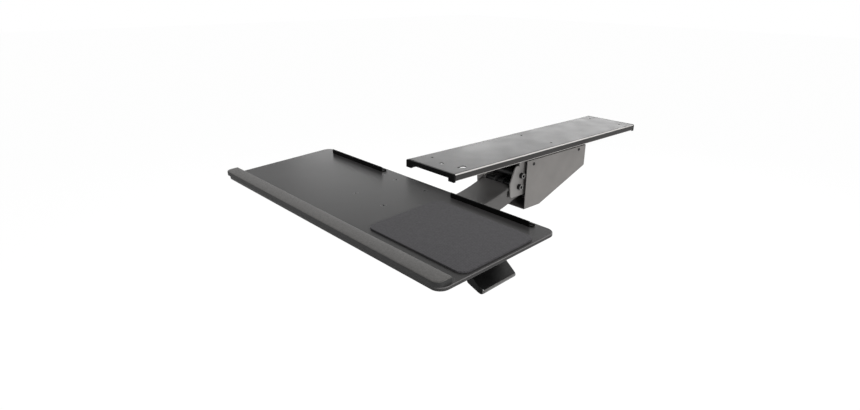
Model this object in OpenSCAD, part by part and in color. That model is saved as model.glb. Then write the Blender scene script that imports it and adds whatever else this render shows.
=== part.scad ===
// Keyboard tray on a lift arm, carried by a track under a desk.
// X runs to the user's right, Y towards the back of the desk, Z up.
// The origin is the middle of the track's top face, which lies against the desk.

/* [Track] */
// Length of the track with its end caps
track_l = 670; // [560:5:760]
// Width of the track
track_w = 145; // [140:1:160]
// Height of the folded channel
track_h = 15.5; // [14.5:0.5:18]
// Sheet thickness of the track
track_t = 2; // [1.5:0.1:2.2]
// Outside radius of the track's top folds
track_fold_r = 4; // [3:0.5:6]
// Width of the slot between the track's lower lips
track_slot_w = 108; // [104:1:112]
// Thickness of an end cap
cap_t = 5; // [4:0.5:7]
// Height of an end cap's front band
cap_band_h = 10.3; // [8:0.1:12]
// How far a cap's feet reach below the desk
cap_foot_h = 17.2; // [16:0.1:19.5]
// Width of one foot of a cap
cap_foot_w = 16.5; // [12:0.5:18]
// Depth of the plug that holds a cap in the channel
cap_plug_l = 8; // [5:0.5:10]
// Diameter of a desk screw hole
desk_hole_d = 5.5; // [4.5:0.1:6.5]
// Distance between the two lines of desk screw holes
desk_hole_span = 90; // [80:1:100]
// Distance of the front row of desk screw holes from the track's front end
desk_front_in = 50; // [40:1:90]
// Distance of the rear row of desk screw holes from the track's rear end
desk_rear_in = 30; // [20:1:90]
// Diameter of the keyhole's round end
keyhole_d = 12; // [10:0.5:14]
// Width of the keyhole's slot
keyhole_slot_w = 6; // [5:0.5:7]
// Length of the keyhole, between the two round ends' centres
keyhole_l = 12; // [8:0.5:16]
// Diameter of the free hole near the front of the track
front_hole_d = 9; // [6:0.5:12]

/* [Carriage] */
// Side of the square carriage plate
carriage_plate_w = 120; // [116:1:124]
// Thickness of the carriage plate
carriage_t = 3; // [2:0.5:3]
// Distance of the carriage's front edge in front of the swivel axis
carriage_front = 60; // [55:1:70]
// Diameter of the dish that reaches down through the slot
dish_d = 84; // [70:1:96]
// Length of a slide shoe
shoe_l = 38; // [30:1:45]
// Gap between a slide shoe and the track
shoe_gap = 0.3; // [0.2:0.05:0.5]
// Diameter of the swivel bolt
swivel_bolt_d = 12; // [10:1:14]

/* [Head] */
// Outside width of the head bracket
head_w = 102; // [100:0.5:104]
// Sheet thickness of the head bracket
head_t = 3; // [2.5:0.1:3]
// Depth of the head bracket's web below the desk
head_top = 21; // [20.5:0.1:22]
// Distance of the swivel axis behind the middle of the parked track
swivel_y = -15; // [-20:1:-10]
// Diameter of the two cross bolts
cross_bolt_d = 10; // [8:0.5:10]
// Diameter of the cross bolts' round heads
bolt_head_d = 13; // [12.5:0.5:16]
// Height of the cross bolts' round heads
bolt_head_h = 8; // [5:0.5:8]
// Width of the cross bolts' hexagonal sockets
bolt_socket_w = 6; // [5:0.5:7]
// Diameter of the upper spacer tube
tie_tube_d = 14; // [13:0.5:16]

/* [Cover] */
// Outside width of the mechanism cover
cover_w = 124; // [122:0.5:130]
// Sheet thickness of the cover
cover_t = 1.5; // [1:0.1:1.5]
// Top edge of the cover below the desk
cover_top = 22; // [21.5:0.1:23]
// Lowest face of the cover below the desk
cover_drop = 137; // [136:1:145]
// Lower edge of the cover's rear wall below the desk
cover_rear_drop = 74.5; // [72:0.5:85]
// Diameter of the cover screws
cover_screw_d = 4; // [3:0.5:5]

/* [Arm] */
// Distance between the arm's two pivots
arm_l = 299.6; // [285:0.2:315]
// Angle of the arm below level
arm_angle = 7.08; // [6:0.02:8]
// Outside width of the arm
arm_w = 90; // [89:0.5:90]
// Sheet thickness of the arm
arm_t = 2.5; // [2:0.1:2.5]
// Depth of the arm's flanges where it runs level
arm_depth = 36.5; // [34:0.5:38]
// Radius of the bowed upper edge
arm_bow_r = 420; // [400:5:440]
// Radius of the arm's front ears
arm_front_r = 16; // [15:0.5:17]
// Diameter of the tubes round the arm's pivots
arm_tube_d = 16; // [15:0.5:18]
// Gap between a turning tube and what it turns on or in
running_gap = 0.08; // [0.03:0.01:0.1]

/* [Link] */
// How far the link's pivots lie behind the arm's pivots
link_back = 40; // [38:0.5:42]
// How far the link's pivots lie below the arm's pivots
link_down = 30; // [28:0.5:32]
// Outside width of the link
link_w = 56; // [50:1:60]
// Sheet thickness of the link
link_t = 3; // [2:0.5:3]
// Height of the link's side bars
link_h = 14; // [12:0.5:16]

/* [Gas spring] */
// Outside diameter of the gas spring
gas_d = 22; // [18:1:22]
// Diameter of the gas spring's rod
gas_rod_d = 8; // [7:0.5:10]
// Length of the gas spring's cylinder
gas_body_l = 130; // [120:1:135]
// Diameter of the pins at both ends of the gas spring
gas_pin_d = 8; // [7:0.5:9]

/* [Tilt bracket] */
// Outside width of the tilt bracket
knuckle_w = 80; // [79:0.5:80]
// Sheet thickness of the tilt bracket
knuckle_t = 3; // [2.5:0.1:3]
// Height of the tilt axis above the arm's front pivot
knuckle_rise = 59.85; // [59:0.05:63]
// Distance of the front web ahead of the arm's front pivot
knuckle_reach = 76; // [74:1:80]
// Radius of the brake sector
sector_r = 48; // [46:0.5:49]
// Thickness of the brake sector
sector_t = 6; // [4:0.5:8]

/* [Lever] */
// Distance of the lever's outer edge from the middle
lever_reach = 304; // [285:0.1:320]
// Sheet thickness of the lever bar
lever_t = 3; // [2.5:0.1:3.5]
// Width of the lever bar
lever_w = 43; // [40:1:43]
// Width of the grip
grip_w = 87.4; // [75:0.2:95]
// Thickness of the grip's lip
grip_t = 9.2; // [8:0.1:11]
// Drop from the lever bar to the middle of the grip's lip
grip_drop = 29; // [26:0.5:32]
// Slope of the grip's face
grip_slope = 37; // [34:1:42]
// How far the grip's outer edge is turned, its front corner outward
grip_turn = 4.4; // [0:0.1:6]
// Diameter of the lever's hinge pin
lever_pin_d = 6; // [5:0.5:7]

/* [Tray] */
// Width of the tray platform
tray_w = 670; // [600:5:720]
// Depth of the tray platform
tray_d = 260; // [250:1:300]
// Thickness of the tray platform
tray_t = 6; // [5:0.5:8]
// Radius of the tray's corners
tray_corner_r = 18; // [12:1:30]
// Radius of the tray's rounded top edge
tray_edge_r = 2; // [1:0.25:2.5]
// Slope of the tray towards the user
tray_pitch = 3.12; // [2:0.02:4]
// Distance of the tilt axis from the tray's rear edge
tilt_in = 54; // [50:1:58]
// Distance of the tilt axis below the tray
tilt_drop = 22.5; // [22:0.1:25]
// Distance between the two lines of tray screws
tray_screw_span = 87.8; // [84:0.2:92]
// Distance of the rear tray screws from the rear edge
tray_screw_in = 28.9; // [26:0.1:30]
// Distance between the two rows of tray screws
tray_screw_pitch = 100.9; // [96:0.1:105]
// Diameter of the tray screws
tray_screw_d = 5; // [4:0.5:5]

/* [Palm rest] */
// Width of the palm rest
rest_w = 673; // [560:1:680]
// How far the palm rest's middle sits to the left of the tray's middle
rest_shift = 5.5; // [0:0.5:8]
// Depth of the palm rest
rest_d = 28.8; // [22:0.2:36]
// Height of the palm rest
rest_h = 10; // [7:0.5:14]
// Radius along the front top edge of the palm rest
rest_edge_r = 3; // [2:0.25:4]

/* [Mouse pad] */
// Width of the mouse pad
pad_w = 230; // [180:1:235]
// Depth of the mouse pad
pad_d = 164; // [140:1:170]
// Thickness of the mouse pad
pad_t = 3; // [2:0.5:4]
// Radius of the mouse pad's corners
pad_corner_r = 17; // [10:1:30]
// Distance of the pad's right edge from the tray's right edge
pad_in = 6; // [4:0.5:12]
// Distance of the pad's rear edge from the tray's rear edge
pad_back_in = 46; // [38:1:52]

/* [Stops] */
// Length of a rear stop
stop_l = 186; // [140:1:200]
// Height of a rear stop
stop_h = 10; // [8:0.5:14]
// Wall of a rear stop
stop_t = 2.5; // [2:0.25:3]
// Depth of a rear stop's foot
stop_foot = 10; // [8:0.5:12]
// Distance of a rear stop's outer end from the tray's end
stop_in = 43; // [30:1:60]
// Distance of a rear stop's front face from the tray's rear edge
stop_back_in = 19.5; // [14:0.5:24]

/* [Hidden] */
$fn = 64;

// Small distance that lets a cut run clear of the face it starts from.
cut = 1;
// Clearance between still pieces of one assembly.
fit = 0.1;
// Gap between flat faces that pass each other.
side_gap = 0.15;
// How far a round-ended bar's sides lie inside its end circles' tangents.
side_inset = 0.02;
// Chamfer round a bolt head's rim.
head_chamfer = 0.7;
// Nut of a cross bolt: width across its flats, height, and how far the thread stands out past it.
bolt_nut_w = 15;
bolt_nut_h = 7;
bolt_end = 1;

// Track, seen along its length.
channel_l = track_l - 2 * cap_t;
lip_r = 3;
front_row_y = -track_l / 2 + desk_front_in;
rear_row_y = track_l / 2 - desk_rear_in;
middle_row_y = (front_row_y + rear_row_y) / 2;
keyhole_head = [desk_hole_span / 2 + 1.5, front_row_y + 2];
front_hole_y = front_row_y - 15;

// Carriage: the plate rides near the top of the channel, its dish hangs through the slot.
carriage_top = 6;
carriage_low = carriage_top + carriage_t;
ring_t = 2.4;
dish_low = head_top - ring_t - fit;
swivel_head_d = 22;
swivel_head_h = 6;
nut_across = 19;
nut_h = 10;
plate_front_y = swivel_y - carriage_front;
plate_rear_y = plate_front_y + carriage_plate_w;

// Pivots in side view, each [Y, Z].
main_pivot = [-107.7, -81.05];
tie_pivot = [main_pivot[0] + 6, main_pivot[1] + 25.3];
front_pivot = main_pivot + arm_l * [-cos(arm_angle), -sin(arm_angle)];
link_offset = [link_back, -link_down];
link_rear = main_pivot + link_offset;
link_front = front_pivot + link_offset;
tilt_axis = front_pivot + [-3.57, knuckle_rise];
crank_pivot = main_pivot + [22, -35.95];
crank_x = 10;
crank_t = 3;
pin_head_h = 2;
gas_anchor = [112, -50];

// Gas spring: its eye hangs on the crank pin with play on all sides.
gas_run = crank_pivot - gas_anchor;
gas_l = norm(gas_run) + 0.2;
gas_dir = atan2(gas_run[1], gas_run[0]) - 0.265;
gas_play = 1.3;
gas_wall = 1.6;
gas_guide_l = 9;
gas_cap_l = 6;
gas_body_start = 14;
gas_body_end = gas_body_start + gas_body_l;
gas_piston_in = 50;
gas_piston_h = 8;
gas_eye_w = 16;
gas_eye_hole_r = gas_pin_d / 2 + gas_play;
gas_eye_r = gas_eye_hole_r + 4.2;
gas_eye_centre = gas_anchor + gas_l * unit(gas_dir);

// Head bracket, seen from the side.
head_front_y = -108.5;
head_rear_y = 125;
head_low = -103;
nose_top = [-115, -40.5];
nose_top_r = 9;
nose_low = [-117.5, -73];
nose_low_r = 19.5;
nose_foot = [[-134.2, head_low + 4], [-130.5, head_low]];
tail_low = [-20, -75];
tail_mid = [-20, -62];
head_fold_r = 4;
link_boss_r = 13;
link_pin_r = 4;
link_pin_play = 0.6;
cover_screw_y = [-72, 101.4];
cover_screw_z = [-32, -29];
tab_w = 16;
tab_drop = 1.5;

// Cover, seen from the side.
cover_front_y = -95;
cover_knee_y = -40;
cover_rear_y = 132;
cover_corner_r = 3;

// Arm, seen from the side: bowed behind, level in front.
arm_level = main_pivot + [-168.3, -23.55];
bow_centre = arm_level + [0, arm_bow_r];
arm_rear_r = 28;
arm_web_rear_y = main_pivot[0] - 18.3;
arm_web_front_y = front_pivot[0] + 40;
arm_ear_r = 12;
slot_centre = main_pivot + [-28, -13];
slot_w = 6;
slot_h = 16;

// Tilt bracket and lever.
knuckle_front_y = front_pivot[0] - knuckle_reach;
knuckle_top = tilt_axis[1] - 6;
knuckle_low = front_pivot[1] + 16;
lever_hinge = [-29, knuckle_top - 6];
bar_top = lever_hinge[1] - 1;
bar_low = bar_top - lever_t;
bar_front_y = knuckle_front_y + 11;
bar_rear_y = bar_front_y + lever_w;
notch_gap = 3;
barrel_r = 5;
pad_x = 5;
pad_y = [bar_rear_y - 13, bar_rear_y - 0.4];
pad_gap = 0.35;
grip_wall = 2.2;
lip_centre = [lever_reach - grip_t / 2, bar_top - grip_drop];
lip_shoulder = lip_centre + (grip_t / 2 - side_inset) * unit(90 - grip_slope);
grip_knee_x = lip_shoulder[0] - (bar_top + grip_wall - lip_shoulder[1]) / tan(grip_slope);
grip_bar_x = grip_knee_x - 4;
grip_heel = lip_centre + [-28.6, 4.6];
grip_front_y = knuckle_front_y - 17.6;
grip_rear_y = grip_front_y + grip_w;
grip_corner_r = 7;
grip_lead = tan(grip_turn) * grip_w / 2;
bar_end_x = grip_bar_x + 20;

// Lever return spring: straight leg, close turns round the pin, straight leg.
wire_r = 0.6;
coil_r = 4.6;
coil_turns = 6;
coil_pitch = 2;
coil_start_y = bar_front_y + 20;
fixed_leg_x = -(knuckle_w / 2 - knuckle_t) - lever_hinge[0] + 0.5;
rings_per_turn = 8;
ring_sides = 6;
coil_steps = coil_turns * rings_per_turn;
loose_leg_x = 12;
loose_leg_gap = 1;

// Tray frame: origin at the middle of the tray's top rear edge, before it is pitched.
tilt_local = [-tilt_in, -(tray_t + tilt_drop)];
tray_rear = tilt_axis - turned(tilt_local, tray_pitch);
rest_corner_r = 14;
bracket_t = 3;
bracket_w = 116;
bracket_front = -(tray_screw_in + tray_screw_pitch + 12.2);
bracket_rear = -(tray_screw_in - 11.9);
tray_ear_x = knuckle_w / 2 + 2;
tray_nut_h = 4;
sink_d = 2.2 * tray_screw_d;
sink_h = (sink_d - tray_screw_d) / 2;
ear_r = 13;

// Turns a side-view vector by an angle.
function turned(p, a) = [p[0] * cos(a) - p[1] * sin(a), p[0] * sin(a) + p[1] * cos(a)];
function unit(a) = [cos(a), sin(a)];

// Extrudes a side-view outline, drawn as [Y, Z], from x0 to x1.
module side_plate(x0, x1) {
    translate([x0, 0, 0]) rotate([90, 0, 90]) linear_extrude(x1 - x0) children();
}

// Extrudes a front-view outline, drawn as [X, Z], from y0 to y1.
module front_plate(y0, y1) {
    translate([0, y1, 0]) rotate([90, 0, 0]) linear_extrude(y1 - y0) children();
}

// Straight cylinder across the part at a side-view point.
module across(p, r, x0, x1) {
    translate([x0, p[0], p[1]]) rotate([0, 90, 0]) cylinder(r = r, h = x1 - x0);
}

module both_sides() {
    children();
    mirror([1, 0, 0]) children();
}

// Round-ended bar between two circles. Its sides run a hair inside the tangents.
module limb(a, ra, b, rb) {
    run = b - a;
    heading = atan2(run[1], run[0]);
    lean = acos((ra - rb) / norm(run));
    side_a = ra - side_inset;
    side_b = rb - side_inset;
    translate(a) circle(ra);
    translate(b) circle(rb);
    polygon([a + side_a * unit(heading + lean), b + side_b * unit(heading + lean),
        b + side_b * unit(heading - lean), a + side_a * unit(heading - lean)]);
}

// Rectangle with round corners, centred.
module round_rect(w, d, r) {
    square([w - 2 * r, d], center = true);
    square([w, d - 2 * r], center = true);
    for (x = [-1, 1], y = [-1, 1]) translate([x * (w / 2 - r), y * (d / 2 - r)]) circle(r);
}

// Section of a slab's rim: a square corner with its upper edge rounded.
module rim(r, t, e) {
    square([r - e, t]);
    square([r, t - e]);
    translate([r - e, t - e]) circle(e);
}

// Slab with round corners and a rounded upper edge, centred in X and Y, standing on Z = 0.
module soft_slab(w, d, t, r, e) {
    cx = w / 2 - r;
    cy = d / 2 - r;
    translate([-cx, -cy, 0]) cube([2 * cx, 2 * cy, t]);
    for (i = [0:3]) {
        long = i % 2 == 0 ? cy : cx;
        out = i % 2 == 0 ? cx : cy;
        rotate([0, 0, 90 * i]) {
            translate([out, long, 0]) rotate([90, 0, 0]) linear_extrude(2 * long) rim(r, t, e);
            translate([out, long, 0]) rotate_extrude(angle = 90) rim(r, t, e);
        }
    }
}

// Low dome head standing on Z = 0, with a hexagonal socket.
module dome_head(d, h) {
    dome_r = d / 2 + 0.5;
    socket_h = h * 0.6;
    difference() {
        rotate_extrude() intersection() {
            square([d / 2, h]);
            translate([0, h - dome_r]) circle(dome_r);
        }
        translate([0, 0, h - socket_h]) cylinder(d = d * 0.45, h = socket_h + cut, $fn = 6);
    }
}

// Round head of a cross bolt standing on Z = 0, with a chamfered rim and a hexagonal socket.
module socket_head() {
    socket_h = bolt_head_h / 2;
    r = bolt_head_d / 2;
    difference() {
        rotate_extrude() polygon([[0, 0], [r, 0], [r, bolt_head_h - head_chamfer],
            [r - head_chamfer, bolt_head_h], [0, bolt_head_h]]);
        translate([0, 0, bolt_head_h - socket_h])
            cylinder(d = bolt_socket_w / cos(30), h = socket_h + cut, $fn = 6);
    }
}

// Hexagonal nut standing on Z = 0.
module hex_nut(across_flats, h, bore_d) {
    difference() {
        cylinder(d = across_flats / cos(30), h = h, $fn = 6);
        translate([0, 0, -cut]) cylinder(d = bore_d, h = h + 2 * cut);
    }
}

// Puts what is drawn along +Z onto the +X side face at x, at a side-view point.
module on_side(p, x) {
    translate([x, p[0], p[1]]) rotate([0, 90, 0]) children();
}

// Moves what is drawn in the tray frame to the tray's place.
module on_tray() {
    translate([0, tray_rear[0], tray_rear[1]]) rotate([tray_pitch, 0, 0]) children();
}

// Track

module channel_section() {
    difference() {
        union() {
            translate([-track_w / 2, -track_h + lip_r]) square([track_w, track_h - lip_r - track_fold_r]);
            translate([-track_w / 2 + track_fold_r, -track_h]) square([track_w - 2 * track_fold_r, track_h]);
            for (s = [-1, 1]) {
                translate([s * (track_w / 2 - track_fold_r), -track_fold_r]) circle(track_fold_r);
                translate([s * (track_w / 2 - lip_r), -track_h + lip_r]) circle(lip_r);
            }
        }
        channel_room(0);
        translate([-track_slot_w / 2, -track_h - cut]) square([track_slot_w, track_t + 2 * cut]);
    }
}

// Room inside the channel, less a gap all round.
module channel_room(gap) {
    translate([0, -track_h / 2])
        round_rect(track_w - 2 * track_t - 2 * gap, track_h - 2 * track_t - 2 * gap, track_fold_r - track_t);
}

module desk_hole(x, y) {
    translate([x, y, -track_t - cut]) cylinder(d = desk_hole_d, h = track_t + 2 * cut);
}

module keyhole() {
    depth = track_t + 2 * cut;
    foot = [desk_hole_span / 2, front_row_y + 2 - keyhole_l];
    translate([0, 0, -track_t - cut]) linear_extrude(depth) union() {
        translate(keyhole_head) circle(d = keyhole_d);
        limb(keyhole_head, keyhole_slot_w / 2, foot, keyhole_slot_w / 2);
    }
}

module track_channel() {
    color("#5a5a5b") difference() {
        front_plate(-channel_l / 2, channel_l / 2) channel_section();
        for (x = [-1, 1], y = [middle_row_y, rear_row_y]) desk_hole(x * desk_hole_span / 2, y);
        desk_hole(-desk_hole_span / 2, front_row_y);
        keyhole();
        translate([0, front_hole_y, -track_t - cut]) cylinder(d = front_hole_d, h = track_t + 2 * cut);
    }
}

// End cap drawn at the front; the feet reach below the track.
module end_cap() {
    plug_x = track_w / 2 - cap_foot_w;
    front_plate(-track_l / 2, -channel_l / 2) union() {
        translate([0, -cap_band_h]) {
            translate([-track_w / 2, 0]) square([track_w, cap_band_h - track_fold_r]);
            translate([-track_w / 2 + track_fold_r, 0]) square([track_w - 2 * track_fold_r, cap_band_h]);
        }
        for (s = [-1, 1]) {
            translate([s * (track_w / 2 - track_fold_r), -track_fold_r]) circle(track_fold_r);
            translate([s * (track_w - cap_foot_w) / 2, -cap_foot_h / 2 - cap_band_h / 4])
                square([cap_foot_w, cap_foot_h - cap_band_h / 2], center = true);
        }
    }
    both_sides() front_plate(-channel_l / 2, -channel_l / 2 + cap_plug_l) intersection() {
        channel_room(fit);
        translate([plug_x, -track_h]) square([cap_foot_w, track_h]);
    }
}

module track_front_cap() {
    color("#242425") end_cap();
}

module track_rear_cap() {
    color("#242425") mirror([0, 1, 0]) end_cap();
}

// Carriage

module carriage_plate() {
    color("#8d8e90") difference() {
        union() {
            translate([-carriage_plate_w / 2, plate_front_y, -carriage_low])
                cube([carriage_plate_w, carriage_plate_w, carriage_t]);
            translate([0, swivel_y, -dish_low]) cylinder(d = dish_d, h = dish_low - carriage_low);
        }
        translate([0, swivel_y, -dish_low + carriage_t])
            cylinder(d = dish_d - 2 * carriage_t, h = dish_low);
        translate([0, swivel_y, -dish_low - cut]) cylinder(d = swivel_bolt_d, h = dish_low);
    }
}

// One shoe grips a corner of the carriage plate and slides along the inside of the channel.
module shoe(y) {
    grip_x = carriage_plate_w / 2 - 4;
    front_plate(y, y + shoe_l) difference() {
        intersection() {
            channel_room(shoe_gap);
            translate([grip_x, -track_h]) square([track_w / 2 - grip_x, track_h]);
        }
        translate([0, -carriage_low]) square([carriage_plate_w / 2, carriage_t]);
    }
}

module slide_shoes() {
    color("#d8d6cf") both_sides() {
        shoe(plate_front_y);
        shoe(plate_rear_y - shoe_l);
    }
}

module swivel_bolt() {
    color("#a8a9ab") translate([0, swivel_y, -dish_low + carriage_t]) {
        cylinder(d = swivel_head_d, h = swivel_head_h);
        translate([0, 0, -(head_top + head_t + nut_h + 3 - dish_low + carriage_t)])
            cylinder(d = swivel_bolt_d, h = head_top + head_t + nut_h + 3 - dish_low + carriage_t);
    }
}

module swivel_nut() {
    color("#a8a9ab") translate([0, swivel_y, -head_top - head_t - side_gap - nut_h])
        hex_nut(nut_across, nut_h, swivel_bolt_d);
}

// Head

module bearing_ring() {
    color("#e4e1d8") translate([0, swivel_y, -head_top]) difference() {
        cylinder(d = dish_d, h = ring_t);
        translate([0, 0, -cut]) cylinder(d = swivel_bolt_d + 2, h = ring_t + 2 * cut);
    }
}

// Cheek outline: sloping nose, straight front, lower edge with the link's boss, rising tail.
module cheek_outline() {
    limb(nose_top, nose_top_r, nose_low, nose_low_r);
    polygon([[head_rear_y, 0], [head_front_y, 0], [head_front_y, nose_top[1]], nose_low,
        nose_low - [nose_low_r, 0], nose_foot[0], nose_foot[1], [link_rear[0], head_low],
        tail_low, [head_rear_y, gas_anchor[1] - 12]]);
    limb(link_rear, link_boss_r, tail_mid, link_boss_r);
}

// Folded section of the bracket, seen along the track.
module head_section() {
    difference() {
        union() {
            translate([-head_w / 2, -200]) square([head_w, 200 - head_top - head_fold_r]);
            translate([-head_w / 2 + head_fold_r, -200]) square([head_w - 2 * head_fold_r, 200 - head_top]);
            for (s = [-1, 1])
                translate([s * (head_w / 2 - head_fold_r), -head_top - head_fold_r]) circle(head_fold_r);
        }
        translate([-head_w / 2 + head_t, -200 - cut])
            square([head_w - 2 * head_t, 200 + cut - head_top - head_t]);
    }
}

// Tab that the cover is screwed to.
module cover_tab(i) {
    tab_out = cover_w / 2 - cover_t;
    translate([head_w / 2 - head_t, cover_screw_y[i] - tab_w / 2, -head_top - head_t - tab_drop])
        cube([tab_out - head_w / 2 + head_t, tab_w, head_t]);
    translate([tab_out - head_t, cover_screw_y[i] - tab_w / 2, cover_screw_z[i] - 8])
        cube([head_t, tab_w, 8 - cover_screw_z[i] - head_top - tab_drop]);
}

module cover_screw_holes() {
    for (i = [0, 1])
        across([cover_screw_y[i], cover_screw_z[i]], cover_screw_d / 2 + fit, -cover_w, cover_w);
}

module head_bracket() {
    color("#828385") difference() {
        union() {
            intersection() {
                front_plate(-160, head_rear_y) head_section();
                side_plate(-head_w / 2, head_w / 2) cheek_outline();
            }
            both_sides() for (i = [0, 1]) cover_tab(i);
        }
        for (p = [main_pivot, tie_pivot]) across(p, cross_bolt_d / 2 + fit, -head_w, head_w);
        across(link_rear, cross_bolt_d / 2 + fit, -head_w, head_w);
        across(gas_anchor, gas_pin_d / 2 + fit, -head_w, head_w);
        cover_screw_holes();
        translate([0, swivel_y, -head_top - head_t - cut])
            cylinder(d = swivel_bolt_d + 2 * running_gap, h = head_t + 2 * cut);
    }
}

function knee_slope() = (cover_drop - cover_rear_drop) / (cover_rear_y - cover_knee_y);

// Cover outline moved in by t from its floor and rear wall.
module cover_outline(t, extra) {
    rise = t * sqrt(1 + knee_slope() * knee_slope());
    knee = cover_knee_y + (rise - t) / knee_slope();
    rear = cover_rear_y - t;
    polygon([[cover_front_y - extra, -cover_top + extra], [cover_front_y - extra, -cover_drop + t],
        [knee - (rise - t) / knee_slope(), -cover_drop + t],
        [rear, -cover_rear_drop + rise - t * knee_slope()], [rear, -cover_top + extra]]);
}

module mechanism_cover() {
    length = cover_rear_y - cover_front_y;
    color("#7f7d7a") difference() {
        intersection() {
            side_plate(-cover_w / 2, cover_w / 2) cover_outline(0, 0);
            translate([0, cover_rear_y - length, -cover_drop - cut]) linear_extrude(cover_drop)
                round_rect(cover_w, 2 * length, cover_corner_r);
        }
        side_plate(-cover_w / 2 + cover_t, cover_w / 2 - cover_t) cover_outline(cover_t, cut);
        cover_screw_holes();
    }
}

module cover_screws() {
    shank_x = cover_w / 2 - cover_t - head_t - 2;
    color("#1d1d1e") both_sides() for (i = [0, 1]) {
        place = [cover_screw_y[i], cover_screw_z[i]];
        on_side(place, cover_w / 2) dome_head(2 * cover_screw_d, 2.6);
        across(place, cover_screw_d / 2, shank_x, cover_w / 2);
    }
}

// Cross bolt: its head stands on the right at x, its end reaches past the nut on the left.
module cross_bolt(p, x) {
    on_side(p, x) socket_head();
    across(p, cross_bolt_d / 2, -x - bolt_nut_h - bolt_end, x);
}

// Nut of a cross bolt on the outer left face, x from the middle.
module cross_nut(p, x) {
    on_side(p, -x - bolt_nut_h) hex_nut(bolt_nut_w, bolt_nut_h, cross_bolt_d);
}

module upper_tie_bolt() {
    color("#1c1c1d") cross_bolt(tie_pivot, head_w / 2);
}

module main_pivot_bolt() {
    color("#1c1c1d") cross_bolt(main_pivot, head_w / 2);
}

module cross_bolt_nuts() {
    color("#1c1c1d") for (p = [main_pivot, tie_pivot]) cross_nut(p, head_w / 2);
}

module tube_across(p, d, bore_d, x0, x1) {
    difference() {
        across(p, d / 2, x0, x1);
        across(p, bore_d / 2, x0 - cut, x1 + cut);
    }
}

module tie_tube() {
    inside = head_w / 2 - head_t;
    color("#3c3c3d") tube_across(tie_pivot, tie_tube_d, cross_bolt_d + 2 * fit, -inside, inside);
}

// Two shoulder bolts carry the link's side bars from the cheeks, so the gas spring passes between them.
module link_pivot_bolts() {
    inside = head_w / 2 - head_t;
    bar_out = link_w / 2;
    color("#1c1c1d") both_sides() {
        on_side(link_rear, head_w / 2) socket_head();
        across(link_rear, cross_bolt_d / 2, bar_out - link_t - 0.3, head_w / 2);
        across(link_rear, 8, bar_out + 0.3, inside);
        across(link_rear, 8, bar_out - link_t - 2.5, bar_out - link_t - 0.3);
    }
}

module gas_spring_rear_pin() {
    color("#9a9b9d") {
        across(gas_anchor, gas_pin_d / 2, -head_w / 2, head_w / 2);
        both_sides() across(gas_anchor, 7, head_w / 2, head_w / 2 + pin_head_h);
        both_sides() tube_across(gas_anchor, 14, gas_pin_d, gas_eye_w / 2 + 0.5, head_w / 2 - head_t);
    }
}

module main_pivot_washers() {
    color("#e4e1d8") both_sides()
        tube_across(main_pivot, 22, cross_bolt_d + 2 * fit, arm_w / 2 + side_gap, head_w / 2 - head_t - fit);
}

// Puts what is drawn along +Z onto the gas spring's line, from its rear anchor forward.
module on_gas_line() {
    translate([0, gas_anchor[0], gas_anchor[1]]) rotate([gas_dir - 90, 0, 0]) children();
}

module gas_spring_cylinder() {
    color("#2a2a2b") difference() {
        union() {
            on_gas_line() translate([0, 0, gas_body_start]) cylinder(d = gas_d, h = gas_body_l);
            on_gas_line() cylinder(r = 6, h = gas_body_start + 1);
            across(gas_anchor, 9, -gas_eye_w / 2, gas_eye_w / 2);
        }
        on_gas_line() translate([0, 0, gas_body_start + gas_cap_l])
            cylinder(d = gas_d - 2 * gas_wall, h = gas_body_l - gas_cap_l - gas_guide_l);
        on_gas_line() translate([0, 0, gas_body_end - gas_guide_l - cut])
            cylinder(d = gas_rod_d + 2 * running_gap, h = gas_guide_l + 2 * cut);
        across(gas_anchor, gas_pin_d / 2 + running_gap, -gas_eye_w, gas_eye_w);
    }
}

module gas_spring_rod() {
    piston_at = gas_body_end - gas_piston_in;
    color("#c3c4c6") on_gas_line() translate([0, 0, piston_at]) {
        cylinder(d = gas_rod_d, h = gas_l - piston_at - gas_eye_r + 3);
        cylinder(d = gas_d - 2 * gas_wall - 0.3, h = gas_piston_h);
    }
}

module gas_spring_eye() {
    socket = gas_rod_d / 2;
    color("#9a9b9d") difference() {
        union() {
            across(gas_eye_centre, gas_eye_r, -gas_eye_w / 2, gas_eye_w / 2);
            on_gas_line() translate([0, 0, gas_l - gas_eye_r - 8]) cylinder(r = 6.5, h = 12);
        }
        across(gas_eye_centre, gas_eye_hole_r, -gas_eye_w, gas_eye_w);
        on_gas_line() translate([0, 0, gas_l - gas_eye_r - 8 - cut]) cylinder(r = socket, h = 11 + cut);
    }
}

// Arm

// Region between two depths below the arm's upper edge, from the bow's start behind to the front pivot.
module arm_band(d0, d1) {
    front_top = front_pivot + [0, arm_front_r];
    front_low = front_pivot - [0, arm_front_r];
    share0 = d0 / arm_depth;
    share1 = d1 / arm_depth;
    intersection() {
        difference() {
            translate(bow_centre) circle(arm_bow_r + d1, $fn = 240);
            translate(bow_centre) circle(arm_bow_r + d0, $fn = 240);
        }
        translate([arm_level[0], -300]) square([300, 300]);
    }
    polygon([arm_level - [0, d0], arm_level - [0, d1],
        share1 < 1 ? front_top - [0, d1] : front_low, share0 > 0 ? front_top - [0, d0] : front_top]);
}

module arm_flange_outline() {
    intersection() {
        arm_band(0, arm_depth);
        union() {
            translate([front_pivot[0], -300]) square([main_pivot[0] - front_pivot[0], 300]);
            intersection() {
                translate(main_pivot) circle(arm_rear_r);
                translate(main_pivot - [0, arm_rear_r]) square(arm_rear_r);
            }
        }
    }
    translate(main_pivot) circle(arm_ear_r);
    translate(front_pivot) circle(arm_front_r);
}

module arm_web_outline() {
    intersection() {
        arm_band(0, arm_t);
        translate([arm_web_front_y, -300]) square([arm_web_rear_y - arm_web_front_y, 300]);
    }
}

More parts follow.
